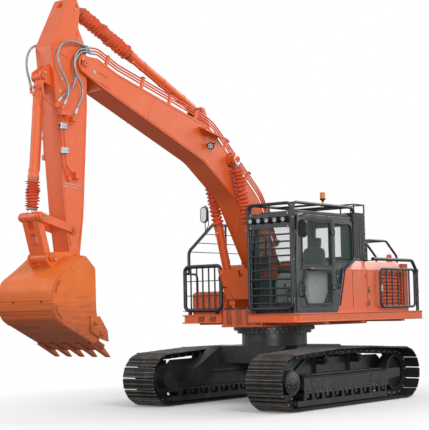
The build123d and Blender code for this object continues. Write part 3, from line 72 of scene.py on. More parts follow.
class Shade:
    """A material whose colour, roughness and bump come from nodes."""

    def __init__(self, name, base, rough=0.5, metallic=0.0, **constant):
        self.mat = bpy.data.materials.new(name)
        self.mat.use_nodes = True
        self.tree = self.mat.node_tree
        self.shader = self.tree.nodes["Principled BSDF"]
        for key, value in {"Metallic": metallic, **constant}.items():
            self.shader.inputs[key.replace("_", " ")].default_value = value
        self.place = self.node("TexCoord").outputs["Object"]
        self.tint = self.rgb(base)
        self.rough = rough
        self.heights = []

    def node(self, kind, operation=None, **values):
        return new_node(self.tree, kind, operation, **values)

    def link(self, a, b):
        self.tree.links.new(a, b)

    def rgb(self, hexa):
        node = self.node("RGB")
        node.outputs[0].default_value = colour(hexa)
        return node.outputs[0]

    def noise(self, scale, detail=3.0, stretch=(1, 1, 1)):
        spread = self.node("Mapping", Scale=stretch)
        self.link(self.place, spread.inputs["Vector"])
        node = self.node("TexNoise", Scale=scale, Detail=detail, Roughness=0.55)
        self.link(spread.outputs[0], node.inputs["Vector"])
        return node.outputs["Fac"]

    def wave(self, scale, direction="X"):
        node = self.node("TexWave", Scale=scale)
        node.bands_direction = direction
        self.link(self.place, node.inputs["Vector"])
        return node.outputs["Fac"]

    def ramp(self, value, low, high, at_low=0.0, at_high=1.0):
        node = self.node("MapRange", From_Min=low, From_Max=high, To_Min=at_low,
                         To_Max=at_high)
        self.link(value, node.inputs["Value"])
        return node.outputs[0]

    def math(self, kind, a, b):
        node = self.node("Math", kind)
        for socket, value in zip(node.inputs, (a, b)):
            if isinstance(value, (int, float)):
                socket.default_value = value
            else:
                self.link(value, socket)
        return node.outputs[0]

    def height(self):
        node = self.node("SeparateXYZ")
        self.link(self.place, node.inputs[0])
        return node.outputs["Z"]

    def edges(self, radius):
        """1 on the sharp edges, 0 away from them."""
        soft = self.node("Bevel", Radius=radius)
        soft.samples = 3
        dot = self.node("VectorMath", "DOT_PRODUCT")
        self.link(soft.outputs[0], dot.inputs[0])
        self.link(self.node("NewGeometry").outputs["Normal"], dot.inputs[1])
        return self.ramp(self.math("SUBTRACT", 1.0, dot.outputs["Value"]), 0.02, 0.2)

    def coat(self, hexa, mask, strength):
        """Lays another colour where the mask is 1."""
        node = self.node("Mix")
        node.data_type = "RGBA"
        self.link(self.math("MULTIPLY", mask, strength), node.inputs["Factor"])
        self.link(self.tint, node.inputs["A"])
        self.link(self.rgb(hexa), node.inputs["B"])
        self.tint = node.outputs["Result"]

    def patches(self, low, high, scale, detail=3.0, stretch=(1, 1, 1)):
        """Mask that runs from 0 to 1 between two levels of a noise."""
        return self.ramp(self.noise(scale, detail, stretch), low, high)

    def stain(self, hexa, strength, *patches):
        self.coat(hexa, self.patches(*patches), strength)

    def worn_edges(self, hexa, radius, *patches):
        self.coat(hexa, self.math("MULTIPLY", self.edges(radius), self.patches(*patches)), 0.8)

    def grain(self, scale, detail, distance, strength):
        self.heights.append((self.noise(scale, detail), distance, strength))

    def done(self, vary, scale):
        """Links the colour, a roughness that varies and the bumps; returns the material."""
        self.link(self.tint, self.shader.inputs["Base Color"])
        rough = self.ramp(self.noise(scale), 0.3, 0.7, max(0.02, self.rough - vary),
                          self.rough + vary)
        self.link(rough, self.shader.inputs["Roughness"])
        normal = None
        for height, distance, strength in self.heights:
            node = self.node("Bump", Distance=distance, Strength=strength)
            self.link(height, node.inputs["Height"])
            if normal:
                self.link(normal, node.inputs["Normal"])
            normal = node.outputs[0]
        if normal:
            self.link(normal, self.shader.inputs["Normal"])
        return self.mat


def stained(name, base, rough, stains, grains=(), vary=0.08, scale=7.0, metallic=0.0,
            **constant):
    """Shade made of rows for Shade.stain and Shade.grain."""
    s = Shade(name, base, rough, metallic, **constant)
    for row in stains:
        s.stain(*row)
    for row in grains:
        s.grain(*row)
    return s.done(vary, scale)


def orange(name, worn=False, dusty=0.25):
    s = Shade(name, "de5d24", 0.42, Specular_IOR_Level=0.4, Coat_Weight=0.34, Coat_Roughness=0.4)
    s.stain("d35a22", 0.45, 0.35, 0.65, 1.3)
    s.stain("e67f46", 0.2, 0.5, 0.75, 7.0, 4)
    s.stain("b98f70", dusty * 0.5, 0.55, 0.8, 3.0, 5)
    if worn:
        s.worn_edges("6d4a3a", 0.012, 0.42, 0.6, 22.0, 4)
    s.grain(160.0, 2, 0.0004, 0.35)
    s.grain(2.2, 2, 0.004, 0.25)
    return s.done(0.07, 5.0)


def bucket_paint():
    """Paint scoured to brown steel towards the lip and along the bowl."""
    s = Shade("bucket_paint", "df6f2a", 0.46, Specular_IOR_Level=0.35)
    s.stain("cf5a22", 0.5, 0.35, 0.65, 2.0)
    low = s.ramp(s.height(), 1.95, 1.3)
    bands = s.patches(0.42, 0.66, 3.2, 4, (1, 0.12, 7))
    s.coat("7a3d22", s.math("MULTIPLY", bands, s.ramp(s.height(), 2.02, 1.75)), 0.45)
    scour = s.patches(0.3, 0.7, 1.6, 4, (1, 0.25, 1))
    wear = s.math("MULTIPLY", low, s.math("ADD", scour, 0.4))
    s.coat("a4512c", s.ramp(wear, 0.1, 0.9), 0.8)
    fine = s.math("MULTIPLY", low, s.patches(0.5, 0.7, 9.0, 5, (1, 0.1, 1)))
    s.coat("6b3a28", fine, 0.45)
    s.worn_edges("5a4038", 0.014, 0.38, 0.6, 18.0, 4)
    s.grain(60.0, 3, 0.0012, 0.4)
    return s.done(0.1, 6.0)


def black(name, base="1b1c1e", rough=0.42, dust=0.3):
    return stained(name, base, rough, (("3a3b3d", 0.5, 0.45, 0.75, 4.0, 4),
                                       ("6b655c", dust, 0.55, 0.85, 2.3, 5)),
                   ((180.0, 2, 0.0004, 0.4),))


def steel(name, base, dirt, rough, metallic, amount):
    return stained(name, base, rough, ((dirt, amount, 0.4, 0.62, 5.0, 6),
                                       ("141312", 0.4, 0.55, 0.75, 28.0, 4)),
                   ((90.0, 4, 0.001, 0.5),), 0.12, 12.0, metallic)


def chrome(name):
    return stained(name, "c9cacc", 0.12, (("8e8c88", 0.3, 0.55, 0.8, 6.0, 3, (1, 1, 6)),), (),
                   0.04, 20.0, 1.0)


def lens(name, base, alpha):
    """Ribbed lamp glass."""
    s = Shade(name, base, 0.12, Coat_Weight=0.4, Alpha=alpha)
    s.heights.append((s.wave(60.0), 0.002, 0.5))
    return s.done(0.03, 9.0)


def cloth(name):
    """Woven seat cloth."""
    s = Shade(name, "1d1e21", 0.85, Sheen_Weight=0.35, Sheen_Roughness=0.5)
    weave = s.math("ADD", s.wave(180.0), s.wave(180.0, "Z"))
    s.coat("303338", s.ramp(weave, 0.6, 1.6), 0.7)
    s.heights.append((weave, 0.0006, 0.6))
    return s.done(0.05, 12.0)


PAINT = orange("orange_paint")
PAINT_WORN = orange("orange_paint_worn", worn=True, dusty=0.4)
BUCKET = bucket_paint()
BLACK = black("black_paint")
CAB = black("cab_paint", "101a21", 0.36, 0.1)
GUARD = black("guard_paint", "161b1e", 0.34, 0.12)
FRAME_BLACK = black("frame_paint", "202123", 0.4, 0.45)
PLASTIC = black("black_plastic", "131415", 0.55, 0.12)
GREY = black("cab_trim", "3a3c3f", 0.6, 0.1)
CONSOLE = black("console_plastic", "a3a6a2", 0.5, 0.2)
SHOE = steel("shoe_steel", "2b2a29", "1b1a19", 0.6, 0.4, 0.7)
# lighter than the shoes: worn steel, and a painted highlight on the rib crests
GROUSER = steel("grouser_steel", "67625c", "3c3937", 0.55, 0.45, 0.6)
LINK = steel("link_steel", "262524", "161514", 0.6, 0.4, 0.6)
ROLLER = steel("roller_steel", "33312f", "191817", 0.45, 0.55, 0.5)
IRON = steel("engine_iron", "4c4d4e", "2a2826", 0.6, 0.5, 0.6)
BARE = steel("bare_steel", "8d8a84", "5b5248", 0.38, 0.85, 0.5)
ZINC = steel("zinc_clamp", "c4c6c8", "8f9092", 0.42, 0.4, 0.35)
TOOTH = steel("tooth_steel", "8a3b22", "5c3326", 0.55, 0.35, 0.6)
CHROME = chrome("chromed_rod")
MIRROR = chrome("mirror_face")
LENS = lens("lamp_lens", "e8ecec", 0.8)
AMBER = lens("amber_lens", "f08a1c", 0.85)
RED = lens("red_lens", "b3221a", 0.9)
CLOTH = cloth("seat_cloth")
GLASS = stained("window_glass", "41635a", 0.05, (("8d9a94", 0.3, 0.45, 0.85, 1.4, 4),), (),
                0.02, 3.0, Specular_IOR_Level=0.42, Alpha=0.12)
RUBBER = stained("rubber", "141414", 0.7, (("3b3a38", 0.5, 0.5, 0.8, 8.0, 5),),
                 ((240.0, 2, 0.0004, 0.5),), 0.08, 14.0)
SLEEVE = stained("sleeve_cloth", "d2532c", 0.6, (("ad3d24", 0.5, 0.42, 0.68, 14.0, 4),
                                                 ("a98a70", 0.2, 0.55, 0.8, 5.0, 5)),
                 ((300.0, 2, 0.0005, 0.5),), 0.08, 10.0, Specular_IOR_Level=0.35)
# Silver guard wound round a hose, and orange paint with dark grease runs.
SPIRAL = stained("hose_guard", "8f9396", 0.38, (("55585b", 0.5, 0.45, 0.75, 9.0, 4),),
                 ((200.0, 2, 0.0005, 0.4),), 0.08, 12.0, 0.6)
STREAKED = stained("streaked_paint", "b5522c", 0.5,
                   (("3c2a24", 0.8, 0.45, 0.62, 3.0, 5, (1, 9, 1.2)),
                    ("7a3a24", 0.4, 0.45, 0.7, 8.0, 4)), (), 0.1, 6.0)


# ---------------------------------------------------------------- finishes of the CAD nodes
FINISHES = (
    (PAINT, "decks counterweight side_panels housing_roof fuel_tank tool_box hood pump_door "
            "boom_barrels cylinder_cover arm_barrel bucket_barrel boom_pipes arm_pipes"),
    (PAINT_WORN, "main_frame boom arm side_links h_link"),
    (FRAME_BLACK, "carbody track_frames final_drives slew_ring_lower slew_ring_upper"),
    (SHOE, "track_left track_right"),
    (GUARD, "roof_guard front_guard right_guards rear_guards guard_door"),
    (PLASTIC, "work_lamps mirrors filter_box"),
    (GLASS, "cab_glass door_glass"),
    (CHROME, "boom_rods arm_rod bucket_rod"),
    (SLEEVE, "boom_sleeves arm_sleeve bucket_sleeve"),
    (SPIRAL, "hose_a hose_b hose_c hose_d hose_e"),
    (CAB, "cab_shell"), (BLACK, "cab_door"), (GREY, "cab_interior"), (ROLLER, "rollers"),
    (IRON, "engine"), (AMBER, "beacon"), (BUCKET, "bucket"),
)
for finish, names in FINISHES:
    for name in names.split():
        obj = nodes[name]
        for slot in obj.material_slots:
            slot.link = "OBJECT"
            slot.material = finish
        if not obj.material_slots:
            obj.data.materials.append(finish)


# ---------------------------------------------------------------- building kit
class Piece:
    """One mesh object, put together from small shaped parts."""

    def __init__(self, name):
        self.name = name
        self.verts = []
        self.faces = []
        self.mats = []

    def loft(self, rings, mat, smooth=False, caps=True):
        """Skin over closed rings of equal length."""
        if mat not in self.mats:
            self.mats.append(mat)
        n, start, last = len(rings[0]), len(self.verts), len(rings) - 1
        self.verts += [tuple(v) for ring in rings for v in ring]
        faces = [[k * n + i, k * n + (i + 1) % n, (k + 1) * n + (i + 1) % n, (k + 1) * n + i]
                 for k in range(last) for i in range(n)]
        if caps:
            faces += [list(range(n))[::-1], [last * n + i for i in range(n)]]
        index = self.mats.index(mat)
        self.faces += [([start + i for i in face], index, smooth) for face in faces]

    def prism(self, outline, origin, u, v, depth, mat, chamfer):
        """Outline drawn along u and v, with depth along their cross product."""
        origin, u, v = Vector(origin), Vector(u).normalized(), Vector(v).normalized()
        w = u.cross(v)
        area = sum(a[0] * b[1] - b[0] * a[1]
                   for a, b in zip(outline, outline[1:] + outline[:1]))
        if area < 0:
            outline = outline[::-1]
        rings = []
        for inset, height in ((chamfer, 0), (0, chamfer), (0, depth - chamfer),
                              (chamfer, depth)):
            shape = shrink(outline, inset) if inset else outline
            rings.append([origin + u * a + v * b + w * height for a, b in shape])
        self.loft(rings, mat)

    def box(self, low, high, mat, chamfer):
        (x0, y0, z0), (x1, y1, z1) = low, high
        chamfer = min(chamfer, (x1 - x0) / 3, (y1 - y0) / 3, (z1 - z0) / 3)
        self.prism([(x0, y0), (x1, y0), (x1, y1), (x0, y1)], (0, 0, z0), X, Y, z1 - z0, mat,
                   chamfer)

    def slab(self, centre, u, v, size, mat, chamfer):
        """Box with its own directions: size along u, v and their cross product."""
        a, b, c = (s / 2 for s in size)
        w = Vector(u).normalized().cross(Vector(v).normalized())
        self.prism([(-a, -b), (a, -b), (a, b), (-a, b)], Vector(centre) - w * c, u, v,
                   size[2], mat, chamfer)

    def turned(self, profile, origin, axis, mat, sides=20, smooth=True):
        """Profile of (distance along, radius) turned about an axis."""
        origin, axis = Vector(origin), Vector(axis).normalized()
        side = axis.orthogonal().normalized()
        over = axis.cross(side)
        self.loft([ring_round(origin + axis * along, side, over, radius, sides)
                   for along, radius in profile], mat, smooth)

    def rod(self, start, end, radius, mat, sides=14):
        start, end = Vector(start), Vector(end)
        length = (end - start).length
        c = min(0.003, radius / 3, length / 3)
        self.turned([(0, radius - c), (c, radius), (length - c, radius),
                     (length, radius - c)], start, end - start, mat, sides)

    def stud(self, place, axis, radius, mat, height=None):
        """Six-sided bolt head."""
        height = height or radius * 0.9
        self.turned([(0, radius * 1.12), (height * 0.8, radius * 1.12),
                     (height, radius * 0.9)], place, axis, mat, 6, False)

    def bolt(self, place, axis, radius, mat, height=None):
        """Six-sided bolt head on its washer."""
        self.turned([(0, radius * 1.45), (radius * 0.25, radius * 1.45)], place, axis, mat, 12,
                    False)
        self.stud(place, axis, radius, mat, height)

    def bolts(self, xs, ys, zs, axis, radius, mat):
        """A bolt at every mix of the places given along x, y and z."""
        for place in product(xs, ys, zs):
            self.bolt(place, axis, radius, mat)

    def studs(self, xs, ys, zs, axis, radius, mat):
        for place in product(xs, ys, zs):
            self.stud(place, axis, radius, mat)

    def tube(self, points, radius, mat, sides=8, caps=True, bend=0.0):
        """Round bar along a row of points, its corners rounded to the bend radius."""
        path = soften(points, bend) if bend else [Vector(p) for p in points]
        self.loft(tube_rings(path, radius, sides), mat, True, caps)

    def make(self, body=None):
        mesh = bpy.data.meshes.new(self.name)
        mesh.from_pydata(self.verts, [], [f[0] for f in self.faces])
        for mat in self.mats:
            mesh.materials.append(mat)
        mesh.polygons.foreach_set("material_index", [f[1] for f in self.faces])
        mesh.polygons.foreach_set("use_smooth", [f[2] for f in self.faces])
        mesh.update()
        work = bmesh.new()
        work.from_mesh(mesh)
        bmesh.ops.recalc_face_normals(work, faces=work.faces)
        work.to_mesh(mesh)
        work.free()
        obj = bpy.data.objects.new(self.name, mesh)
        bpy.context.collection.objects.link(obj)
        if body:
            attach(obj, body)
        return obj


def spaced(first, step, count):
    return [first + i * step for i in range(count)]


def ring_round(centre, side, over, radius, sides):
    """Circle of points; radius may be a function of the angle."""
    ring = []
    for a in (2 * math.pi * i / sides for i in range(sides)):
        size = radius(a) if callable(radius) else radius
        ring.append(centre + (side * math.cos(a) + over * math.sin(a)) * size)
    return ring


def shrink(outline, inset):
    """Outline moved inwards by a distance, corner by corner, listed anticlockwise."""
    result = []
    n = len(outline)
    for i in range(n):
        before, here, after = (Vector(outline[k % n]) for k in (i - 1, i, i + 1))
        a, b = (here - before).normalized(), (after - here).normalized()
        normal = Vector((-a.y, a.x))
        middle = normal + Vector((-b.y, b.x))
        if middle.length < 1e-6:
            middle = normal
        middle = middle.normalized()
        result.append(tuple(here + middle * (inset / max(0.4, middle.dot(normal)))))
    return result


def soften(points, bend, steps=5):
    """Row of points with each corner replaced by an arc."""
    points = [Vector(p) for p in points]
    path = [points[0]]
    for before, here, after in zip(points, points[1:], points[2:]):
        a, b = (before - here).normalized(), (after - here).normalized()
        half = a.angle(b, math.pi) / 2
        if half > math.radians(88):
            path.append(here)
            continue
        reach = min(bend / math.tan(half), (before - here).length * 0.48,
                    (after - here).length * 0.48)
        radius = reach * math.tan(half)
        centre = here + (a + b).normalized() * (radius / math.sin(half))
        first, last = here + a * reach - centre, here + b * reach - centre
        turn = first.angle(last)
        axis = first.cross(last).normalized()
        for k in range(steps + 1):
            path.append(centre + Matrix.Rotation(turn * k / steps, 3, axis) @ first)
    path.append(points[-1])
    return path


def frames_along(path):
    """Two directions across the path at each of its points, which don't twist."""
    side = None
    for i in range(len(path)):
        ahead = (path[min(i + 1, len(path) - 1)] - path[max(i - 1, 0)]).normalized()
        side = side or ahead.orthogonal().normalized()
        side = (side - ahead * side.dot(ahead)).normalized()
        yield side, ahead.cross(side)


def tube_rings(path, radius, sides):
    return [ring_round(point, side, over, radius, sides)
            for point, (side, over) in zip(path, frames_along(path))]


# ---------------------------------------------------------------- tracks
TRACK_Y = 1.345
SHOES = 49
SHOE_HALF = 0.36
WHEEL_X, WHEEL_Z = 1.702, 0.462
CARRIER_X = 0.52
WHEELS = [(-WHEEL_X, WHEEL_Z, 0.462), (WHEEL_X, WHEEL_Z, 0.462),
          (CARRIER_X, 0.7697, 0.2153), (-CARRIER_X, 0.7697, 0.2153)]
BELT = 0.038


def belt_places(inset, count):
    """Evenly spaced places round the track: point, outward and travel directions."""
    wheels = [(x, z, r - inset) for x, z, r in WHEELS]
    runs = []
    for i, (x0, z0, r0) in enumerate(wheels):
        x1, z1, r1 = wheels[(i + 1) % len(wheels)]
        gap = math.hypot(x1 - x0, z1 - z0)
        a = math.atan2(z1 - z0, x1 - x0) - math.acos((r0 - r1) / gap)
        runs.append((a, (x0 + r0 * math.cos(a), z0 + r0 * math.sin(a)),
                     (x1 + r1 * math.cos(a), z1 + r1 * math.sin(a))))
    spans = []
    for i, (x, z, r) in enumerate(wheels):
        arrive = runs[i - 1][0]
        leave, start, finish = runs[i]
        spans.append((r * ((leave - arrive) % (2 * math.pi)), (x, z), r, arrive))
        spans.append((math.dist(start, finish), start, 0, leave))
    total = sum(s[0] for s in spans)
    places = []
    for i in range(count):
        left = total * (i + 0.5) / count
        for length, (x, z), radius, angle in spans:
            if left <= length:
                break
            left -= length
        if radius:
            angle += left / radius
            x, z = x + radius * math.cos(angle), z + radius * math.sin(angle)
        else:
            x, z = x - left * math.sin(angle), z + left * math.cos(angle)
        places.append((Vector((x, 0, z)), Vector((math.cos(angle), 0, math.sin(angle))),
                       Vector((-math.sin(angle), 0, math.cos(angle)))))
    return places, total / count


def track(name, centre):
    """Shoes with three worn ribs each, bolted to two rows of links on pins."""
    places, pitch = belt_places(BELT, SHOES)
    half = pitch / 2 - 0.004
    ribs = (-half + 0.014, 0.0, half - 0.014)
    low, top, edge, end = 0.001, 0.012, 0.026, SHOE_HALF - 0.004
    tail = 0.56 * pitch
    link = [(-tail, -0.062), (-tail + 0.02, -0.096), (-tail + 0.055, -0.102), (-0.02, -0.102),
            (0.02, -0.102), (tail - 0.055, -0.102), (tail - 0.02, -0.096), (tail, -0.062),
            (tail - 0.02, -0.03), (tail - 0.045, -0.018), (half - 0.012, -0.001),
            (-half + 0.012, -0.001), (-tail + 0.045, -0.018), (-tail + 0.02, -0.03)]
    shoes = Piece(name + "_shoes")
    links = Piece(name + "_links")
    for point, out, ahead in places:
        base = point + Vector((0, centre, 0))
        lift = 0.002 * random.random()

        def at(t, y, n):
            return base + ahead * t + Vector((0, y, 0)) + out * (n + lift)

        shoes.loft([[at(t * s, y, n) for t, n in (
            (-half, low), (half, low), (half, top - 0.003), (half - 0.004, top),
            (-half + 0.004, top), (-half, top - 0.003))]
            for y, s in ((-SHOE_HALF, 0.84), (-SHOE_HALF + edge, 1), (SHOE_HALF - edge, 1),
                         (SHOE_HALF, 0.84))], SHOE)
        for t in ribs:
            wear = 0.002 + 0.004 * random.random()
            rings = []
            for y, rise, narrow in ((-end, 0.5, 0.86), (-end + edge, 1, 1), (-0.12, 0.97, 1),
                                    (0.12, 0.95, 1), (end - edge, 1, 1), (end, 0.5, 0.86)):
                crest = top + (BELT - 0.003 - top - wear) * rise
                rings.append([at(t * narrow + a, y, n) for a, n in (
                    (-0.013, top - 0.002), (0.013, top - 0.002), (0.0065, crest),
                    (-0.0065, crest))])
            # the ribs take the lighter grouser steel, which is partly a painted highlight
            shoes.loft(rings, GROUSER)
        for t in (ribs[0] / 2, ribs[2] / 2):
            for y in (-0.075, 0.075):
                shoes.stud(at(t, y, top), out, 0.013, LINK)
        shoes.turned([(0, 0.026), (0.006, 0.026), (0.006, 0.018), (0.001, 0.016)],
                     at(ribs[0] / 2, 0, top - 0.002), out, LINK, 10, False)
        for y, shift in ((-0.098, 0.006), (-0.073, -0.006), (0.055, -0.006), (0.08, 0.006)):
            links.prism([(a + shift, b) for a, b in link], at(0, y, 0), ahead, out, 0.018,
                        LINK, 0.003)
        joint = base + ahead * pitch / 2 - out * 0.058
        links.rod(joint - Vector((0, 0.112, 0)), joint + Vector((0, 0.112, 0)), 0.019, BARE, 10)
    shoes_piece = shoes.make("undercarriage")
    links.make("undercarriage")
    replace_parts(shoes_piece, name)


track("track_left", TRACK_Y)
track("track_right", -TRACK_Y)


# ---------------------------------------------------------------- pleated rod sleeves
BOOM_FOOT, BOOM_TIP, BUCKET_PIN = (0.127, 2.2), (4.87, 5.334), (5.073, 2.448)
BOOM_CYL_FOOT, BOOM_CYL_EYE, BOOM_CYL_Y = (0.73, 1.75), (1.44, 4.18), 0.325
ARM_CYL_FOOT, ARM_CYL_EYE = (2.05, 4.96), (4.93, 6.22)
BUCKET_CYL_FOOT, SIDE_LINK_PIN = (5.6, 5.05), (5.11, 2.85)
LINK_PIN, EAR_PIN = (5.76, 3.01), (5.58, 2.43)
PER_PLEAT = 6


def sleeve_piece(name, foot, eye, y, start, short, outer, inner, pleats, node):
    """Pleated sleeve from the gland to short of the rod eye, with clamp bands at its ends."""
    end = math.dist(foot, eye) - short
    foot, eye = Vector((foot[0], y, foot[1])), Vector((eye[0], y, eye[1]))
    axis = (eye - foot).normalized()
    side, over = Vector(Y), axis.cross(Vector(Y))
    band, flat = inner + 0.014, 0.03
    steps = pleats * PER_PLEAT
    profile = [(start, band, 1), (start + flat, band, 1)]
    for k in range(steps + 1):
        crown = (0.5 - 0.5 * math.cos(2 * math.pi * k / PER_PLEAT)) ** 0.7
        profile.append((start + 0.035 + (end - start - 0.07) * k / steps,
                        inner + (outer - inner) * crown, 0))
    profile += [(end - flat, band, 1), (end, band, 1)]
    lean = random.Random(name).random() * 6.28
    rings = []
    for along, radius, clamped in profile:
        pleat = (along - start) / (end - start) * pleats
        if clamped:
            rings.append(ring_round(foot + axis * along, side, over, radius, 20))
            continue
        sway = 0.006 * math.sin(pleat * 1.7 + lean)
        squeeze = 1 + 0.05 * math.sin(pleat * 2.3 + lean * 2)
        ring = ring_round(foot + axis * along + over * sway, side, over,
                          lambda a: radius * squeeze * (1 + 0.03 * math.sin(3 * a + pleat * 1.3)),
                          20)
        rings.append([p + axis * (0.012 * math.sin(2 * math.pi * i / 20 + pleat * 0.9))
                      for i, p in enumerate(ring)])
    piece = Piece(name)
    piece.loft(rings, SLEEVE, True)
    for along in (start + 0.008, end - 0.022):
        piece.turned([(0, inner + 0.012), (0, inner + 0.018), (0.014, inner + 0.018),
                      (0.014, inner + 0.012)], foot + axis * along, axis, BARE, 20, False)
    obj = piece.make()
    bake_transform(obj)
    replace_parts(obj, node)


for side, label in ((-1, "right"), (1, "left")):
    sleeve_piece("boom_sleeve_" + label, BOOM_CYL_FOOT, BOOM_CYL_EYE, side * BOOM_CYL_Y, 1.404,
                 0.112, 0.108, 0.066, 14, "boom_sleeves")
sleeve_piece("arm_sleeve_pleats", ARM_CYL_FOOT, ARM_CYL_EYE, 0, 1.804, 0.15, 0.118, 0.07, 16,
             "arm_sleeve")
sleeve_piece("bucket_sleeve_pleats", BUCKET_CYL_FOOT, LINK_PIN, 0, 1.484, 0.098, 0.104, 0.064,
             10, "bucket_sleeve")


# ---------------------------------------------------------------- hoses
HOSE = 0.034
SWING, PORT_GAP = 0.8408, 0.008
LINE_X, LINE_Y, LINE_Z = (4.66, 4.69, 4.73), 0.19, (5.512, 5.554, 5.596)
WIND, RIDGE = 0.017, 0.0016
FERRULE = 0.085


def smooth_line(points, name):
    """Points read from the smooth curve that a route's control points give."""
    data = bpy.data.curves.new(name, "CURVE")
    data.dimensions = "3D"
    data.resolution_u = 56
    spline = data.splines.new("NURBS")
    spline.points.add(len(points) - 1)
    for place, point in zip(spline.points, points):
        place.co = (*point, 1)
    spline.order_u = 3
    spline.use_endpoint_u = True
    holder = bpy.data.objects.new(name, data)
    path = [v.co.copy() for v in bpy.data.meshes.new_from_object(holder).vertices]
    bpy.data.objects.remove(holder)
    return path


def crimp(gap):
    """Ferrule radius at a distance from the hose's end: lip, body and two grooves."""
    size = 0.0212 if gap > 0.012 else 0.0185
    return size - (RIDGE if 0.03 < gap < 0.036 or 0.055 < gap < 0.061 else 0)


def hose(name, points, body, far_body=None):
    """Hose in its wound guard, with a crimped ferrule and nut at each end."""
    path = smooth_line(points, name + "_line")
    far = [0]
    for a, b in zip(path, path[1:]):
        far.append(far[-1] + (b - a).length)
    rings, near_rings, far_rings = [], [], []
    for point, (side, over), done in zip(path, frames_along(path), far):
        turn = done / WIND * 2 * math.pi
        rings.append(ring_round(point, side, over, lambda a: HOSE / 2 - 0.001 + RIDGE
                                * (0.5 + 0.5 * math.cos(turn - a)) ** 0.6, 10))
        for group, gap in ((near_rings, done), (far_rings, far[-1] - done)):
            if gap < FERRULE:
                group.append(ring_round(point, side, over, crimp(gap), 14))
    piece = Piece(name + "_tube")
    piece.loft(rings, SPIRAL, True)
    for label, group, end, ahead, carrier in (
            ("near", near_rings, path[0], path[3] - path[0], body),
            ("far", far_rings, path[-1], path[-4] - path[-1], far_body or body)):
        fitting = Piece(f"{name}_{label}_fitting")
        fitting.loft(group, ZINC, True)
        fitting.turned([(0, 0.0235), (0.002, 0.025), (0.02, 0.025), (0.022, 0.0235)], end,
                       ahead, ZINC, 6, False)
        fitting.make(carrier)
    obj = piece.make(None if far_body else body)
    if far_body:
        tuple(path[20])
        tuple(path[-40])
        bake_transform(obj)
    tuple(points[0])
    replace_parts(obj, name)


def hose_start(line, side, reach):
    x, y, z = LINE_X[line], side * LINE_Y, LINE_Z[line]
    return [(x, y, z), (x + reach, y, z)]


def hose_end(degrees, y, reach):
    """Last two points, on a ray from the arm pivot that ends at the port."""
    angle = math.radians(degrees)
    return [(BOOM_TIP[0] + far * math.cos(angle), y, BOOM_TIP[1] - far * math.sin(angle))
            for far in (SWING - PORT_GAP - reach, SWING - PORT_GAP)]


hose("hose_a", [*hose_start(2, 1, 0.12), (4.985, 0.212, 5.618), (5.135, 0.24, 5.622),
                (5.29, 0.25, 5.592), (5.418, 0.25, 5.5), (5.468, 0.25, 5.35),
                (5.42, 0.25, 5.19), (5.32, 0.25, 5.05), (5.237, 0.25, 4.911),
                *hose_end(55.4, 0.25, 0.138)], "boom", "arm")
hose("hose_b", [*hose_start(1, 1, 0.118), (4.938, 0.212, 5.548), (5.05, 0.238, 5.485),
                (5.12, 0.25, 5.375), (5.125, 0.25, 5.24), (5.072, 0.25, 5.11),
                (4.975, 0.25, 4.99), (4.958, 0.25, 4.865), (5.0, 0.25, 4.75),
                *hose_end(73, 0.25, 0.114)], "boom", "arm")
hose("hose_c", [*hose_start(0, 1, 0.115), (4.908, 0.2, 5.515), (5.015, 0.205, 5.435),
                (5.074, 0.205, 5.315), (5.056, 0.205, 5.18), (5.07, 0.205, 5.05),
                (5.12, 0.205, 4.935), (5.21, 0.205, 4.855),
                *hose_end(50, 0.205, 0.115)], "boom", "arm")
hose("hose_d", [(5.34, -0.205, 5.58), (5.45, -0.205, 5.58), (5.56, -0.205, 5.52),
                (5.63, -0.205, 5.41), (5.655, -0.205, 5.28), (5.638, -0.203, 5.15),
                (5.6, -0.195, 5.03), (5.585, -0.188, 4.922)], "arm")
hose("hose_e", [*hose_start(0, -1, 0.115), (4.905, -0.215, 5.505), (5.015, -0.245, 5.432),
                (5.074, -0.26, 5.315), (5.056, -0.26, 5.18), (5.07, -0.26, 5.05),
                (5.12, -0.26, 4.935), (5.21, -0.26, 4.855),
                *hose_end(50, -0.26, 0.115)], "boom", "arm")


# ---------------------------------------------------------------- pins and bosses
def pin_head(piece, point, y, side, radius, keeper, mat):
    """Round head of a pin with its grease nipple and a keeper plate with a bolt."""
    face = Vector((point[0], y, point[1]))
    out = Vector((0, side, 0))
    piece.turned([(-0.002, radius * 1.2), (0.01, radius * 1.2), (0.014, radius * 1.12),
                  (0.014, radius * 0.92), (0.018, radius * 0.88), (0.018, radius * 0.3),
                  (0.012, radius * 0.25)], face, out, mat, 24, False)
    piece.turned([(0.012, 0.009), (0.02, 0.009), (0.028, 0.005)], face, out, BARE, 8, False)
    if keeper is not None:
        ahead = Vector((math.cos(math.radians(keeper)), 0, math.sin(math.radians(keeper))))
        piece.slab(face + ahead * radius * 1.3 + out * 0.008, ahead, ahead.cross(out),
                   (radius * 1.5, 0.042, 0.012), mat, 0.003)
        piece.bolt(face + ahead * radius * 1.75 + out * 0.012, out, 0.012, ZINC)


# Piece and body, finish, and pins: centre, distance from the middle, radius, keeper's angle.
PINS = (
    ("boom_pins", "boom", PAINT_WORN, ((BOOM_TIP, 0.226, 0.046, 40),
                                       (ARM_CYL_FOOT, 0.119, 0.036, 70))),
    ("arm_pins", "arm", PAINT_WORN, ((ARM_CYL_EYE, 0.092, 0.036, -60),
                                     (BUCKET_CYL_FOOT, 0.107, 0.036, 110),
                                     (SIDE_LINK_PIN, 0.21, 0.036, None))),
    ("link_pins", "side_links", PAINT_WORN, ((LINK_PIN, 0.221, 0.042, 160),)),
    ("bucket_pins", "bucket", BUCKET, ((EAR_PIN, 0.22, 0.042, 200),
                                       (BUCKET_PIN, 0.22, 0.042, None))),
    ("frame_pins", "upper", PAINT_WORN, ((BOOM_CYL_FOOT, 0.438, 0.048, 200),
                                         (BOOM_FOOT, 0.275, 0.05, 120))),
    ("boom_rod_pins", "boom_rods", PAINT_WORN, ((BOOM_CYL_EYE, 0.375, 0.05, -30),)),
)
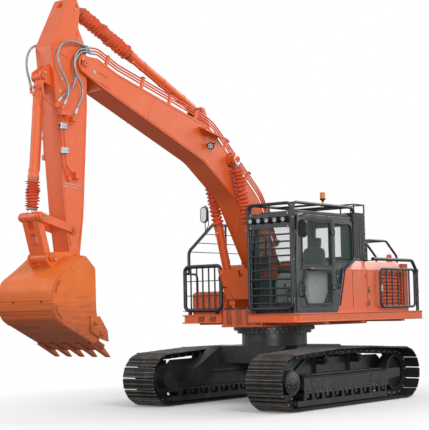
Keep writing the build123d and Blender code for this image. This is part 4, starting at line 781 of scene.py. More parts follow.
# Weld rings round the boom's bosses: centre, radius, height and width.
BOSS_RINGS = ((BOOM_CYL_EYE, 0.105, 0.007, 0.012), (BOOM_CYL_EYE, 0.128, 0.007, 0.012),
              (BOOM_TIP, 0.098, 0.006, 0.013))
for name, body, mat, pins in PINS:
    piece = Piece(name)
    for side in SIDES:
        for point, y, radius, keeper in pins:
            pin_head(piece, point, side * y, side, radius, keeper, mat)
        if body == "boom":
            for (x, z), radius, rise, wide in BOSS_RINGS:
                piece.turned([(0, radius), (rise, radius - 0.003),
                              (rise, radius - wide + 0.003), (0, radius - wide)],
                             (x, side * 0.2105, z), (0, side, 0), PAINT_WORN, 32, False)
        if body == "boom_rods":
            x, z = BOOM_CYL_EYE
            piece.rod((x, side * 0.266, z), (x, side * 0.276, z), 0.07, PAINT_WORN, 24)
    piece.make(body)


# ---------------------------------------------------------------- cylinders
def cylinder_dress(name, body, foot, eye, y, radius, barrel, bands, line_turn, port_turn):
    """Gland bolts, bands with ears, and the steel line along a barrel."""
    piece = Piece(name)
    foot, eye = Vector((foot[0], y, foot[1])), Vector((eye[0], y, eye[1]))
    axis = (eye - foot).normalized()
    side = Vector(Y)
    over = side.cross(axis)

    def out(turn):
        a = math.radians(turn)
        return side * math.cos(a) + over * math.sin(a)

    def at(along, turn, rise):
        return foot + axis * along + out(turn) * (radius + rise)

    def collar(middle, *profile):
        piece.turned([(middle + a, radius + b) for a, b in profile], foot, axis, PAINT, 32,
                     False)

    def nut(along, turn, *profile):
        piece.turned(profile, at(along, turn, -0.004), out(turn), ZINC, 6, False)

    collar(barrel, (-0.132, 0.004), (-0.128, 0.012), (-0.092, 0.012), (-0.088, 0.004))
    collar(barrel, (-0.04, 0.004), (-0.036, 0.016), (0.004, 0.016), (0.006, -0.01))
    for turn in spaced(15, 30, 12):
        piece.stud(at(barrel + 0.004, turn, -0.004), axis, 0.0095, ZINC)
    for along in bands:
        collar(along, (-0.018, 0.0003), (-0.018, 0.006), (0.018, 0.006), (0.018, 0.0003))
        for turn in (line_turn, line_turn + 180):
            across = out(turn).cross(axis)
            piece.slab(at(along, turn, 0.02), out(turn), axis, (0.04, 0.036, 0.014), PAINT,
                       0.002)
            piece.stud(at(along, turn, 0.03) + across * 0.007, across, 0.008, ZINC)
    start, end, lift = 0.17, barrel - 0.11, 0.034
    piece.tube([at(start, line_turn, -0.01), at(start, line_turn, lift),
                at(end, line_turn, lift), at(end, line_turn, 0)], 0.0125, PAINT, 10, bend=0.03)
    for along in (start, end):
        nut(along, line_turn, (0, 0.024), (0.016, 0.024), (0.018, 0.019), (0.026, 0.019))
    nut(0.22, port_turn, (0, 0.024), (0.02, 0.024), (0.022, 0.018), (0.03, 0.018))
    piece.make(body)


for side in SIDES:
    cylinder_dress(f"boom_cylinder_dress_{side + 1}", "boom_cylinders", BOOM_CYL_FOOT,
                   BOOM_CYL_EYE, side * BOOM_CYL_Y, 0.072, 1.4, (0.76, 1.14), 90, 200)
cylinder_dress("arm_cylinder_dress", "arm_cylinder", ARM_CYL_FOOT, ARM_CYL_EYE, 0, 0.075, 1.8,
               (0.42, 0.95, 1.45), 60, 240)
cylinder_dress("bucket_cylinder_dress", "bucket_cylinder", BUCKET_CYL_FOOT, LINK_PIN, 0, 0.068,
               1.48, (0.16, 0.27), 90, 270)


# ---------------------------------------------------------------- cab
CAB_LEFT, CAB_RIGHT = 1.36, 0.445
CONSOLE_Y = (0.6, 1.21)
SCREEN_X, SCREEN_LOW, SCREEN_HIGH = 1.29, 0.452, 1.34
BEACON = (-0.17, 1.0, 0)


def seal(piece, points, bend, **more):
    piece.tube(points, 0.009, RUBBER, bend=bend, **more)


def cab_outside():
    """Roof cap, gutters, seals, hinge covers, wiper and feet of the cab."""
    piece = Piece("cab_trim")
    piece.loft([[(x, y, z) for x, y, z in (
        (1.02 - i, 0.5 + i, 3.252 + r), (1.02 - i, 1.305 - i, 3.252 + r),
        (-0.5 + i, 1.305 - i, 3.252 + r), (-0.5 + i, 0.5 + i, 3.252 + r))]
        for i, r in ((0, -0.006), (0, 0.016), (0.03, 0.034), (0.09, 0.04))], CAB)
    piece.tube([(1.04, 1.366, 3.17), (0.9, 1.37, 3.225), (-0.46, 1.37, 3.225),
                (-0.56, 1.366, 3.13), (-0.56, 1.366, 2.52), (-0.27, 1.366, 2.31),
                (-0.08, 1.366, 1.68)], 0.011, RUBBER, bend=0.08)
    for z in (1.7, 1.86, 2.02, 2.18):
        piece.stud((-0.16 + (z - 1.7) * 0.32 - 0.02, 1.358, z), Y, 0.008, ZINC)
    piece.studs((0.2, 0.5, 0.8), (1.356,), (3.2,), Y, 0.007, ZINC)
    piece.rod((1.208, 0.9, 1.83), (1.222, 0.9, 1.83), 0.03, PLASTIC, 16)
    piece.tube([(1.216, 0.9, 1.83), (1.226, 0.78, 2.2), (1.226, 0.74, 2.42)], 0.008, PLASTIC,
               bend=0.2)
    piece.slab((1.222, 0.74, 2.5), (0, 0.12, 1), (0, 1, -0.12), (0.62, 0.024, 0.012), RUBBER,
               0.003)
    low, high = CAB_RIGHT + 0.055, CAB_LEFT - 0.055
    for y in (low, high):
        seal(piece, [(1.203, y, 1.74), (1.203, y, 2.48)], 0)
    seal(piece, [(1.203, low, 1.735), (1.203, high, 1.735)], 0)
    low, high = CAB_RIGHT + 0.085, CAB_LEFT - 0.085
    rear = [(low, 2.535), (high, 2.535), (high, 3.085), (low, 3.085), (low, 2.535)]
    seal(piece, [(-0.602, y, z) for y, z in rear], 0.05)
    right = [(1.045, 2.175), (1.045, 3.085), (-0.485, 3.085), (-0.485, 2.495), (-0.105, 2.175)]
    seal(piece, [(x, 0.443, z) for x, z in right + right[:1]], 0.06)
    for x in (-0.48, 1.08):
        piece.slab((x, 0.9, 1.585), X, Y, (0.14, 0.5, 0.05), RUBBER, 0.01)
    piece.make("upper")


def door_trim():
    """Window seals, rail, lock, grab handles and hinge bolts of the cab door."""
    door = Piece("door_trim")
    for ring in ([(0.135, 2.335), (1.02, 2.335), (1.02, 3.02), (0.93, 3.13), (0.135, 3.13)],
                 [(0.15, 1.695), (0.9, 1.695), (1.03, 1.985), (0.955, 2.275), (0.15, 2.275)]):
        seal(door, [(x, 1.361, z) for x, z in ring + ring[:2]], 0.05, caps=False)
    door.slab((0.62, 1.366, 2.305), X, Z, (0.86, 0.045, 0.012), CAB, 0.004)
    door.slab((0.79, 1.372, 2.302), X, Z, (0.17, 0.036, 0.02), PLASTIC, 0.005)
    door.tube([(0.73, 1.375, 2.302), (0.73, 1.405, 2.302), (0.86, 1.405, 2.302),
               (0.86, 1.375, 2.302)], 0.009, BARE, bend=0.012)
    door.turned([(0, 0.014), (0.008, 0.014), (0.012, 0.01)], (0.93, 1.36, 2.305), Y, BARE, 16)
    door.tube([(1.06, 1.362, 1.83), (1.06, 1.41, 1.85), (1.05, 1.425, 1.95),
               (1.04, 1.41, 2.06), (1.04, 1.362, 2.08)], 0.012, PLASTIC, bend=0.04)
    door.studs((0.135,), (1.386,), (1.972, 2.008, 2.912, 2.948), Y, 0.008, ZINC)
    door.make("cab_door")


def cab_inside():
    """Seat frame, consoles, monitor, lever boots, headlining and floor mat."""
    piece = Piece("cab_fittings")
    piece.box((0.06, 0.7, 1.65), (0.52, 1.11, 1.88), CONSOLE, 0.03)
    piece.box((0.06, 0.71, 1.602), (0.5, 1.1, 1.66), RUBBER, 0.006)
    side = soften([(0.4, 0, 1.65), (0.7, 0, 1.65), (0.7, 0, 2.05), (0.62, 0, 2.26),
                   (0.12, 0, 2.26), (0.12, 0, 1.9), (0.3, 0, 1.65), (0.4, 0, 1.65)], 0.05)
    for y in CONSOLE_Y:
        piece.prism([(p.x, p.z) for p in side[:-1]], (0, y + 0.045, 0), X, Z, 0.09, CONSOLE,
                    0.012)
        piece.tube([(0.62, y, 2.25), (0.635, y, 2.35), (0.652, y, 2.42)], 0.009, PLASTIC)
        piece.turned([(-0.05, 0.012), (-0.03, 0.018), (0.0, 0.026), (0.02, 0.024),
                      (0.034, 0.012)], (0.652, y, 2.44), (0.1, 0, 1), PLASTIC, 16)
    for i, z in enumerate(spaced(1.64, 0.032, 6)):
        grow = i % 2 * 0.012
        piece.box((0.07 - grow, 0.72 - grow, z), (0.5 + grow, 1.09 + grow, z + 0.034), RUBBER,
                  0.006)
    piece.box((0.03, 0.7, 1.835), (0.53, 1.11, 1.878), PLASTIC, 0.01)
    for y in CONSOLE_Y:
        piece.box((0.13, y - 0.055, 2.255), (0.62, y + 0.055, 2.3), PLASTIC, 0.012)
        piece.turned([(0, 0.045), (0.02, 0.042), (0.034, 0.032), (0.05, 0.034), (0.064, 0.024),
                      (0.08, 0.026), (0.1, 0.016)], (0.59, y, 2.25), (0.1, 0, 1), RUBBER, 16)
        for x in spaced(0.25, 0.09, 3):
            piece.slab((x, y, 2.304), X, Y, (0.05, 0.04, 0.012), GREY, 0.004)
    piece.slab((0.98, 0.56, 2.46), Y, (-0.3, 0, 1), (0.16, 0.24, 0.04), PLASTIC, 0.01)
    piece.slab((0.958, 0.56, 2.465), Y, (-0.3, 0, 1), (0.13, 0.18, 0.006), GLASS, 0.002)
    piece.tube([(1.02, 0.53, 2.4), (1.06, 0.52, 2.2), (1.08, 0.52, 1.64)], 0.014, PLASTIC,
               bend=0.05)
    for y in (0.83, 0.97):
        piece.tube([(0.9, y, 1.64), (0.86, y, 1.82), (0.8, y, 2.02)], 0.01, BARE, bend=0.05)
        piece.turned([(0, 0.016), (0.05, 0.02), (0.07, 0.014)], (0.8, y, 2.0), (-0.2, 0, 1),
                     RUBBER, 12)
        piece.slab((0.93, y, 1.67), (1, 0, 0.35), Y, (0.22, 0.09, 0.016), RUBBER, 0.004)
    piece.box((0.05, 0.52, 1.602), (1.12, 0.56, 1.614), RUBBER, 0.003)
    piece.box((-0.5, 0.52, 3.19), (1.0, 1.29, 3.196), GREY, 0.002)
    piece.box((-0.53, 0.52, 1.66), (-0.42, 1.28, 2.3), CONSOLE, 0.03)
    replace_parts(piece.make("upper"), "cab_interior")


def cushion(name, low, high, lean):
    """Crowned pad with rounded corners, seams round its edge and sewn channels."""
    work = bmesh.new()
    bmesh.ops.create_cube(work, size=1)
    bmesh.ops.subdivide_edges(work, edges=work.edges, cuts=9, use_grid_fill=True)
    for v in work.verts:
        p = [c * 2 for c in v.co]
        crown = [(1 - abs(p[i - 2]) ** 4) * (1 - abs(p[i - 1]) ** 4) for i in range(3)]
        pull = max(0.0, sum(abs(c) ** 6 for c in p) - 1.2)
        spot = [p[i] / 2 * (high[i] - low[i]) * (0.93 + 0.07 * crown[i] - 0.05 * pull)
                for i in range(3)]
        if p[2] > 0.98:
            for groove in (-0.36, 0.36):
                spot[2] -= 0.012 * math.exp(-((p[1] - groove) * 14) ** 2)
            for groove in (-0.45, 0.0, 0.45):
                spot[2] -= 0.008 * math.exp(-((p[0] - groove) * 16) ** 2)
        v.co = spot
    mesh = bpy.data.meshes.new(name)
    work.to_mesh(mesh)
    work.free()
    mesh.polygons.foreach_set("use_smooth", [True] * len(mesh.polygons))
    mesh.materials.append(CLOTH)
    middle = (Vector(low) + Vector(high)) / 2
    mesh.transform(Matrix.Translation(middle) @ Matrix.Rotation(math.radians(lean), 4, "Y"))
    obj = bpy.data.objects.new(name, mesh)
    bpy.context.collection.objects.link(obj)
    soft = obj.modifiers.new("soft", "SUBSURF")
    soft.levels = soft.render_levels = 1
    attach(obj, "upper")
    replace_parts(obj, "cab_interior")


door_trim()
cab_outside()
cab_inside()
cushion("seat_pad", (0.03, 0.675, 1.885), (0.555, 1.135, 2.02), -3)
cushion("back_pad", (-0.31, 0.69, 2.285), (0.39, 1.12, 2.415), 82)
cushion("head_pad", (-0.125, 0.79, 2.735), (0.055, 1.02, 2.825), 82)


# ---------------------------------------------------------------- lamps, screen and mirrors
def led(piece, place, ahead, radius):
    """Round work lamp: finned body, bezel and a star of lenses."""
    place, ahead = Vector(place), Vector(ahead).normalized()

    def part(rings, centre, mat, sides, smooth=True):
        piece.turned([(along, radius * share) for along, share in rings], centre, ahead, mat,
                     sides, smooth)

    part([(-0.05, 0.6), (-0.03, 0.9), (-0.022, 0.75), (-0.014, 0.92), (-0.006, 0.8), (0, 1.04),
          (0.012, 1.04), (0.014, 0.9)], place, PLASTIC, 20, False)
    part([(0.006, 0.9), (0.011, 0.88)], place, CHROME, 20)
    side = ahead.orthogonal().normalized()
    over = ahead.cross(side)
    star = [side * math.cos(a) + over * math.sin(a)
            for a in (math.radians(v) for v in range(30, 390, 60))]
    for spot in [place + s * radius * 0.56 for s in star] + [place]:
        part([(0.011, 0.26), (0.016, 0.25), (0.021, 0.14)], spot, LENS, 10)


def screen():
    """Lamps, bolts, clamps and feet of the front guard."""
    piece = Piece("screen_fittings")
    low, high = SCREEN_LOW, SCREEN_HIGH
    for y in (low + (high - low) * (i + 0.62) / 5.25 for i in range(5)):
        led(piece, (SCREEN_X + 0.066, y, 3.11), X, 0.046)
        piece.box((SCREEN_X + 0.006, y - 0.03, 3.155), (SCREEN_X + 0.05, y + 0.03, 3.17),
                  PLASTIC, 0.003)
        piece.stud((SCREEN_X + 0.03, y, 3.168), Z, 0.008, ZINC)
    piece.bolts((SCREEN_X + 0.006,), (low + 0.06, high - 0.06), (3.0, 3.215), X, 0.009, ZINC)
    piece.studs((SCREEN_X + 0.008,), ((low + high) / 2,),
                spaced(2.87, -0.118, 6) + [2.13, 1.98, 1.86, 1.735], X, 0.007, GUARD)
    for y, side in ((low, -1), (high, 1)):
        for z in (1.8, 2.45, 3.15):
            place = Vector((SCREEN_X - 0.028, y, z))
            piece.slab(place, X, Z, (0.05, 0.05, 0.034), GUARD, 0.004)
            piece.stud(place + Vector((0, side * 0.017, 0)), (0, side, 0), 0.008, ZINC)
    piece.bolts((1.262,), (0.435, 0.505, 1.29, 1.36), (1.562,), Z, 0.012, ZINC)
    piece.box((1.2, 0.43, 1.56), (1.33, 0.53, 1.572), GUARD, 0.003)
    piece.box((1.2, 1.27, 1.56), (1.33, 1.385, 1.572), GUARD, 0.003)
    piece.make("upper")


def roof_fittings():
    """Hinge sleeves and rear foot of the roof guard."""
    roof = Piece("roof_fittings")
    for y in (0.457, 1.335):
        for x, z in ((-0.638, 2.49), (-0.638, 3.0), (1.232, 3.2)):
            roof.turned([(-0.012, 0.026), (-0.012, 0.031), (0.012, 0.031), (0.012, 0.026)],
                        (x, y, z), Z, GUARD, 16, False)
    roof.box((-0.75, 1.07, 2.482), (-0.55, 1.38, 2.49), GUARD, 0.002)
    roof.bolts((-0.72, -0.59), (1.1, 1.36), (2.49,), Z, 0.011, ZINC)
    roof.make("upper")


def beacon():
    """Amber ribbed lamp on its socket and stem."""
    piece = Piece("beacon_lamp")
    piece.turned([(3.535, 0.045), (3.545, 0.052), (3.56, 0.052), (3.565, 0.046)], BEACON, Z,
                 PLASTIC)
    ribs = [(3.57 + i * 0.0085, 0.045 + i % 2 * 0.0025) for i in range(10)]
    piece.turned([(3.565, 0.047)] + ribs + [(3.658, 0.044), (3.667, 0.036), (3.673, 0.02)],
                 BEACON, Z, AMBER, 24)
    piece.turned([(3.43, 0.016), (3.5, 0.012), (3.51, 0.02), (3.535, 0.03)], BEACON, Z, PLASTIC,
                 16)
    piece.make("upper")


def oval(width, height, inset, count=28):
    """Upright slot outline in width and height, shrunk by an inset."""
    half = width / 2 - inset
    return [(half * math.cos(t), half * math.sin(t)
             + math.copysign((height - width) / 2, math.sin(t)))
            for t in (2 * math.pi * (i + 0.5) / count for i in range(count))]


def mirror_faces():
    """Left mirror seen from its ribbed back, right mirror turned to the front."""
    piece = Piece("mirror_trim")
    for x, y, z, w, h, ahead in ((1.163, 1.5, 2.95, 0.17, 0.3, -1),
                                 (0.371, -1.29, 3.4, 0.165, 0.3, 1)):
        face = oval(w, h, 0.016)
        piece.loft([[(x, y + a, z + b) for a, b in face],
                    [(x + ahead * 0.004, y + a * 0.97, z + b * 0.98) for a, b in face]], MIRROR)
    for a in spaced(-0.056, 0.028, 5):
        tall = 0.065 + math.sqrt(0.078 ** 2 - a * a)
        rib = [(x, 1.5 + a, 2.95 + tall * t) for x, t in
               ((1.204, -1), (1.215, -0.7), (1.215, 0.7), (1.204, 1))]
        piece.tube(rib, 0.005, PLASTIC, 6, bend=0.02)
    rim = oval(0.17, 0.3, 0.004)
    piece.tube([(1.207, 1.5 + a, 2.95 + b) for a, b in rim + rim[:1]], 0.006, BLACK, 6)
    piece.turned([(0, 0.03), (0.02, 0.026), (0.03, 0.014)], (0.33, -1.29, 3.4), (-1, 0, 0),
                 PLASTIC, 16)
    piece.tube([(0.345, -1.25, 3.12), (0.35, -1.19, 3.2), (0.35, -1.19, 3.46),
                (0.35, -1.22, 3.56), (0.35, -1.29, 3.56)], 0.008, PLASTIC, bend=0.05)
    piece.make("upper")


screen()
roof_fittings()
beacon()
mirror_faces()


# ---------------------------------------------------------------- upper structure details
DECK_TOP, DECK_LOW = 1.56, 1.41
DECK_LEFT, DECK_RIGHT = 1.446, -1.351
DECK_FRONT, DECK_FRONT_RIGHT = 1.331, 0.941
PANEL_Y = 1.335
TAIL_RADIUS = 2.88


def slabs(piece, u, v, rows):
    """Slabs that lie the same way, from rows of centre, size, material and chamfer."""
    for centre, size, mat, chamfer in rows:
        piece.slab(centre, u, v, size, mat, chamfer)


def deck_trim():
    """Rolled lips on the skirts, dark rubber strips as painted shade of the slots in the right
    skirt, and step treads.
    """
    piece = Piece("deck_trim")
    for z, r in ((DECK_TOP - 0.01, 0.011), (DECK_LOW + 0.008, 0.012)):
        piece.tube([(-2.77, DECK_LEFT, z), (DECK_FRONT, DECK_LEFT, z), (DECK_FRONT, 0.47, z)],
                   r, PAINT, bend=0.02)
        piece.tube([(DECK_FRONT_RIGHT, -0.47, z), (DECK_FRONT_RIGHT, DECK_RIGHT, z),
                    (-2.5, DECK_RIGHT, z)], r, PAINT, bend=0.02)
    # thin dark rubber strips flat on the skirt's face: painted shade standing for the slots in it
    for y in spaced(-0.965, 0.037, 4) + spaced(-0.7, 0.037, 4):
        piece.slab((DECK_FRONT_RIGHT, y, 1.48), (0, 1, -0.25), (0, 0.25, 1),
                   (0.021, 0.1, 0.004), RUBBER, 0.0015)
    for x in spaced(0.3, 0.072, 7):
        piece.slab((x, -0.88, 1.967), X, Y, (0.018, 0.62, 0.006), BARE, 0.002)
        for y in spaced(-1.14, 0.074, 8):
            piece.turned([(0, 0.011), (0.005, 0.009), (0.007, 0.005)], (x + 0.036, y, 1.965),
                         Z, BARE, 8, False)
    for y, side in ((DECK_LEFT - 0.001, 1), (DECK_RIGHT + 0.001, -1)):
        piece.bolts((-2.3, -1.5, -0.9, -0.1, 0.55), (y,), (1.485,), (0, side, 0), 0.011, PAINT)
    piece.make("upper")


def panel_trim():
    """Seams, latches and hinges of the side panels, tank cap, gauge and roof bolts."""
    piece = Piece("panel_trim")
    for path in ([(-1.02, 0, 1.6), (-1.02, 0, 2.3), (-1.02, -0.128, 2.468)],
                 [(-0.545, 0, 1.64), (-0.545, 0, 2.3)], [(-2.2, 0, 1.6), (-2.2, 0, 2.3)]):
        piece.tube([(x, PANEL_Y + y, z) for x, y, z in path], 0.004, RUBBER, 6)
    piece.tube([(-2.3, PANEL_Y - 0.001, 2.3), (-0.33, PANEL_Y - 0.001, 2.3)], 0.006, PAINT, 6)
    for z in (1.95, 1.72):
        piece.slab((-1.075, PANEL_Y + 0.002, z), X, Z, (0.045, 0.11, 0.006), PLASTIC, 0.002)
        piece.turned([(0, 0.012), (0.006, 0.011)], (-1.075, PANEL_Y + 0.004, z + 0.025), Y,
                     ZINC, 12)
    piece.box((-2.26, PANEL_Y - 0.046, 1.66), (-1.41, PANEL_Y - 0.036, 2.29), PAINT, 0.003)
    for z in (1.7, 2.2):
        piece.rod((-0.98, PANEL_Y + 0.008, z - 0.04), (-0.98, PANEL_Y + 0.008, z + 0.04), 0.01,
                  PAINT)
    piece.bolts((-0.75,), (PANEL_Y,), (1.62, 2.26), Y, 0.01, ZINC)
    for x, mat in ((-0.3, BARE), (-0.72, PLASTIC)):
        piece.turned([(0, 0.055), (0.012, 0.055), (0.014, 0.045), (0.035, 0.043), (0.04, 0.034)],
                     (x, -0.85, 2.47), Z, mat, 20, False)
    piece.bolts((-0.2, -0.86), (-1.17, -0.53), (2.47,), Z, 0.013, PAINT)
    slabs(piece, Y, Z, [((-0.115, y, 2.2), (0.012, 0.42, 0.006), PAINT, 0.002)
                        for y in (-1.0, -0.7)])
    piece.turned([(0, 0.03), (0.01, 0.03), (0.012, 0.022)], (-0.118, -0.85, 2.28), X, GLASS,
                 16, False)
    piece.bolts((-2.3,), (-0.8, -0.4, 0.0, 0.4, 0.8), (2.471,), Z, 0.012, PAINT)
    piece.make("upper")


def louvres(piece, profile, places, u, v, length):
    """Pressed louvre lips, all drawn from one profile."""
    for place in places:
        piece.prism(profile, place, u, v, length, PAINT, 0.001)


def hood_trim():
    """Latches, louvre lips, handle and bolts of the engine hood."""
    piece = Piece("hood_trim")
    for y in (-0.35, 0.35):
        piece.slab((-2.262, y, 2.505), Y, Z, (0.09, 0.045, 0.01), PLASTIC, 0.003)
        piece.tube([(-2.27, y - 0.03, 2.5), (-2.29, y - 0.02, 2.495), (-2.29, y + 0.02, 2.495),
                    (-2.27, y + 0.03, 2.5)], 0.005, BARE, 6)
    louvres(piece, [(-0.02, 0), (0.022, 0), (0.012, 0.014), (-0.006, 0.016)],
            product(spaced(-2.05, 0.06, 9), (-0.09, 0.47), (2.539,)), X, Z, 0.38)
    piece.tube([(-1.5, -0.12, 2.538), (-1.5, -0.12, 2.575), (-1.5, 0.12, 2.575),
                (-1.5, 0.12, 2.538)], 0.01, BLACK, bend=0.02)
    piece.bolts((-2.22, -1.05), (-0.55, 0.55), (2.539,), Z, 0.01, ZINC)
    piece.make("hood")


def pump_door_trim():
    """Latch, louvre lips and bolts of the pump door."""
    piece = Piece("pump_door_trim")
    piece.slab((-2.12, -1.243, 1.96), X, Z, (0.05, 0.12, 0.008), PLASTIC, 0.002)
    louvres(piece, [(-0.015, 0), (0.018, 0), (0.01, 0.013), (-0.004, 0.014)],
            product((-1.9,), (-1.239,), spaced(2.14, -0.045, 8)), Z, (0, -1, 0), 0.42)
    piece.bolts((-2.2, -1.32), (-1.24,), (1.69, 2.22), (0, -1, 0), 0.009, ZINC)
    piece.make("pump_door")


def filter_trim():
    """Bolt columns and ribs on the tall box behind the cab."""
    piece = Piece("filter_box_trim")
    rows = spaced(2.52, 0.098, 9)
    piece.studs((-1.2, -0.88), (1.2,), rows, Y, 0.009, ZINC)
    piece.studs((-0.86,), (0.92, 1.18), rows, X, 0.009, ZINC)
    piece.studs((-1.22,), (0.92, 1.18), rows, (-1, 0, 0), 0.009, ZINC)
    slabs(piece, X, Z, [((x, 1.202, 2.9), (0.025, 0.66, 0.006), GUARD, 0.002)
                        for x in (-1.13, -1.04, -0.95)])
    piece.make("upper")


def tail_trim():
    """Round tail lamps and the parting lines of the counterweight."""
    piece = Piece("tail_trim")
    for y in SIDES:
        place = Vector((-math.sqrt(TAIL_RADIUS ** 2 - y ** 2), y, 0))
        ahead = place.normalized()
        place.z = 1.62
        piece.turned([(-0.01, 0.07), (0.008, 0.07), (0.012, 0.062)], place, ahead, PLASTIC, 24)
        piece.turned([(0.01, 0.058), (0.016, 0.054), (0.02, 0.04), (0.022, 0.012)], place, ahead,
                     RED, 24)
    for z in (2.2, 1.5):
        piece.tube([(-math.sqrt(TAIL_RADIUS ** 2 - y * y) - 0.001, y, z)
                    for y in (1.24 * (i / 12 * 2 - 1) for i in range(13))], 0.006, PAINT, 6)
    piece.make("upper")


def cover_trim():
    """Corner bolts, a slot drawn as dark rubber strips (painted shade), grab handle and lower bar
    of the cylinder cover.
    """
    piece = Piece("cover_trim")
    (x0, z0), (x1, z1) = BOOM_CYL_FOOT, BOOM_CYL_EYE
    foot, along = Vector((x0, 0, z0)), Vector((x1 - x0, 0, z1 - z0)).normalized()
    out = Vector((along.z, 0, -along.x))

    def at(distance, y, rise=0.0):
        return foot + along * distance + out * (0.129 + rise) + Vector((0, y, 0))

    for distance, y in ((0.6, -0.36), (0.6, 0.31), (0.17, -0.19), (0.17, 0.31), (0.38, 0.31)):
        piece.bolt(at(distance, y), out, 0.012, ZINC)
    # two thin dark rubber strips flat on the cover: painted shade standing for its slot
    slabs(piece, Y, along, ((at(0.57, 0.03), (0.035, 0.12, 0.004), RUBBER, 0.0015),
                            (at(0.545, 0.075), (0.02, 0.06, 0.004), RUBBER, 0.0015)))
    piece.tube([at(0.13, 0.36), at(0.63, 0.36)], 0.008, PAINT)
    piece.tube([at(0.115, -0.2), at(0.64, -0.43)], 0.008, PAINT)
    piece.tube([at(0.33, -0.31), at(0.34, -0.36, 0.03), at(0.36, -0.385, 0.03),
                at(0.5, -0.43, 0.03), at(0.53, -0.42, 0.01), at(0.53, -0.39)], 0.011, PLASTIC,
               bend=0.03)
    piece.make("boom_cylinders")


def apron_trim():
    """Ribs, a black clamp bar that also paints the shade of the gap under the cylinder cover, and
    grease-streaked plates of the front apron.
    """
    piece = Piece("apron_trim")
    x = 0.917
    slabs(piece, Y, Z, [((x, y, 1.5), (0.024, 0.32, 0.012), PAINT_WORN, 0.003)
                        for y in (-0.4, -0.19, 0.02, 0.23, 0.41)])
    # black bar along the apron's top edge: a bolted clamp bar, and painted shade of the gap under
    # the cylinder cover
    piece.slab((x, 0, 1.655), Y, Z, (0.86, 0.03, 0.02), BLACK, 0.004)
    piece.bolts((x + 0.008,), (-0.41, -0.14, 0.12, 0.4), (1.655,), X, 0.011, BARE)
    slabs(piece, (0, 1, 0.04), (0, -0.04, 1),
          [((x + 0.001, y, 1.5), (wide, 0.26, 0.004), STREAKED, 0.001)
           for y, wide in ((-0.3, 0.11), (-0.08, 0.13), (0.13, 0.12), (0.32, 0.11))])
    piece.make("upper")


def discs(piece, low, high, radius, places, mat, sides):
    for place in places:
        piece.turned([(low, radius), (high, radius)], place, Z, mat, sides, False)


def guard_trim():
    """Clamp discs of the right guard and rear rails, and the panel guard's hinge and latch."""
    piece = Piece("guard_trim")
    discs(piece, 0, 0.012, 0.052, product((0.905,), (-1.305, -0.475), (1.62,)), GUARD, 16)
    discs(piece, 0, 0.01, 0.04, product((-0.76, -2.33), (0.65, 1.1), (2.472,)), GUARD, 14)
    discs(piece, -0.03, 0.03, 0.036, ((-2.68, 1.4, 1.92), (-2.68, 1.4, 2.31)), GREY, 16)
    piece.make("upper")
    door = Piece("guard_door_trim")
    discs(door, -0.045, 0.045, 0.021, ((-2.6, 1.4, 1.78), (-2.6, 1.4, 2.19)), GREY, 12)
    door.slab((-1.38, 1.427, 1.98), X, Z, (0.05, 0.1, 0.012), ZINC, 0.003)
    door.turned([(0, 0.014), (0.014, 0.014), (0.018, 0.008)], (-1.38, 1.43, 1.98), Y, BARE, 12,
                False)
    door.make("guard_door")


deck_trim()
panel_trim()
hood_trim()
pump_door_trim()
filter_trim()
tail_trim()
cover_trim()
apron_trim()
guard_trim()


# ---------------------------------------------------------------- boom, arm and bucket details
BOOM_TOP = ((0.02, 2.33), (0.64, 3.56), (1.96, 4.69), (4.18, 5.278), (4.6, 5.448))
BOOM_UNDER = ((0.65, 2.49), (1.28, 3.5), (2.15, 4.11), (4.47, 5.0))
# Line clamps: leg of the boom's top, and distance along it.
CLAMPS = ((0, 0.48), (0, 1.08), (1, 0.48), (1, 1.25), (2, 0.38), (2, 1.05), (2, 1.72))
ARM_FRONT = ((5.515, 5.52), (5.44, 4.9), (5.262, 3.05), (5.185, 2.6))
ARM_BACK = ((4.8, 5.45), (4.79, 4.7), (4.888, 3.05), (4.96, 2.6))
BUCKET_SIDE = ((5.33, 2.452), (5.56, 2.28), (5.905, 2.06), (5.89, 1.57), (4.92, 1.095))
BUCKET_HALF = 0.565


def upright(outline, *ys):
    """The outline, given in x and z, repeated at each y."""
    return [[Vector((a, y, b)) for a, b in outline] for y in ys]


def seam(piece, points, y, dx, dz, radius, bend):
    """Weld bead beside a plate edge, on both sides."""
    for side in SIDES:
        line = soften([(x + dx, side * y, z + dz) for x, z in points], bend)
        piece.tube(line, radius, PAINT, 6)


def boom_details():
    """Weld beads, nose plates and the clamps of the lines on the boom's top."""
    piece = Piece("boom_details")
    seam(piece, BOOM_TOP, 0.2105, 0, -0.034, 0.006, 0.4)
    seam(piece, BOOM_UNDER, 0.2105, 0, 0.03, 0.006, 0.4)
    nose = [(4.28, 5.215), (4.33, 5.015), (4.75, 5.12), (4.93, 5.21), (4.94, 5.44),
            (4.62, 5.425)]
    for side in SIDES:
        y = side * 0.211
        piece.tube([(1.02, y, 3.8432), (1.36, y, 2.9)], 0.005, PAINT, 6)
        piece.tube([(3.35, y, 4.98), (3.53, y, 4.62)], 0.005, PAINT, 6)
        piece.loft(upright(nose, y) + upright(shrink(nose, 0.006), y + side * 0.007), PAINT)
        piece.bolt((4.69, side * 0.217, 5.225), (0, side, 0), 0.02, ZINC)
        piece.slab((4.5, side * 0.221, 5.22), (1, 0, 0.27), (-0.27, 0, 1), (0.19, 0.03, 0.012),
                   PAINT, 0.004)
    tops = [Vector((x, 0, z)) for x, z in BOOM_TOP]
    for leg, station in CLAMPS:
        run = (tops[leg + 1] - tops[leg]).normalized()
        over = Vector((-run.z, 0, run.x))
        for side in SIDES:
            place = tops[leg] + run * station + over * 0.176 + Vector((0, side * 0.19, 0))
            piece.slab(place, run, Y, (0.06, 0.062, 0.012), BLACK, 0.003)
            for shift in (-0.018, 0.018):
                piece.stud(place + run * shift + over * 0.005, over, 0.008, ZINC)
    lamp_bracket(piece)
    piece.make("boom")


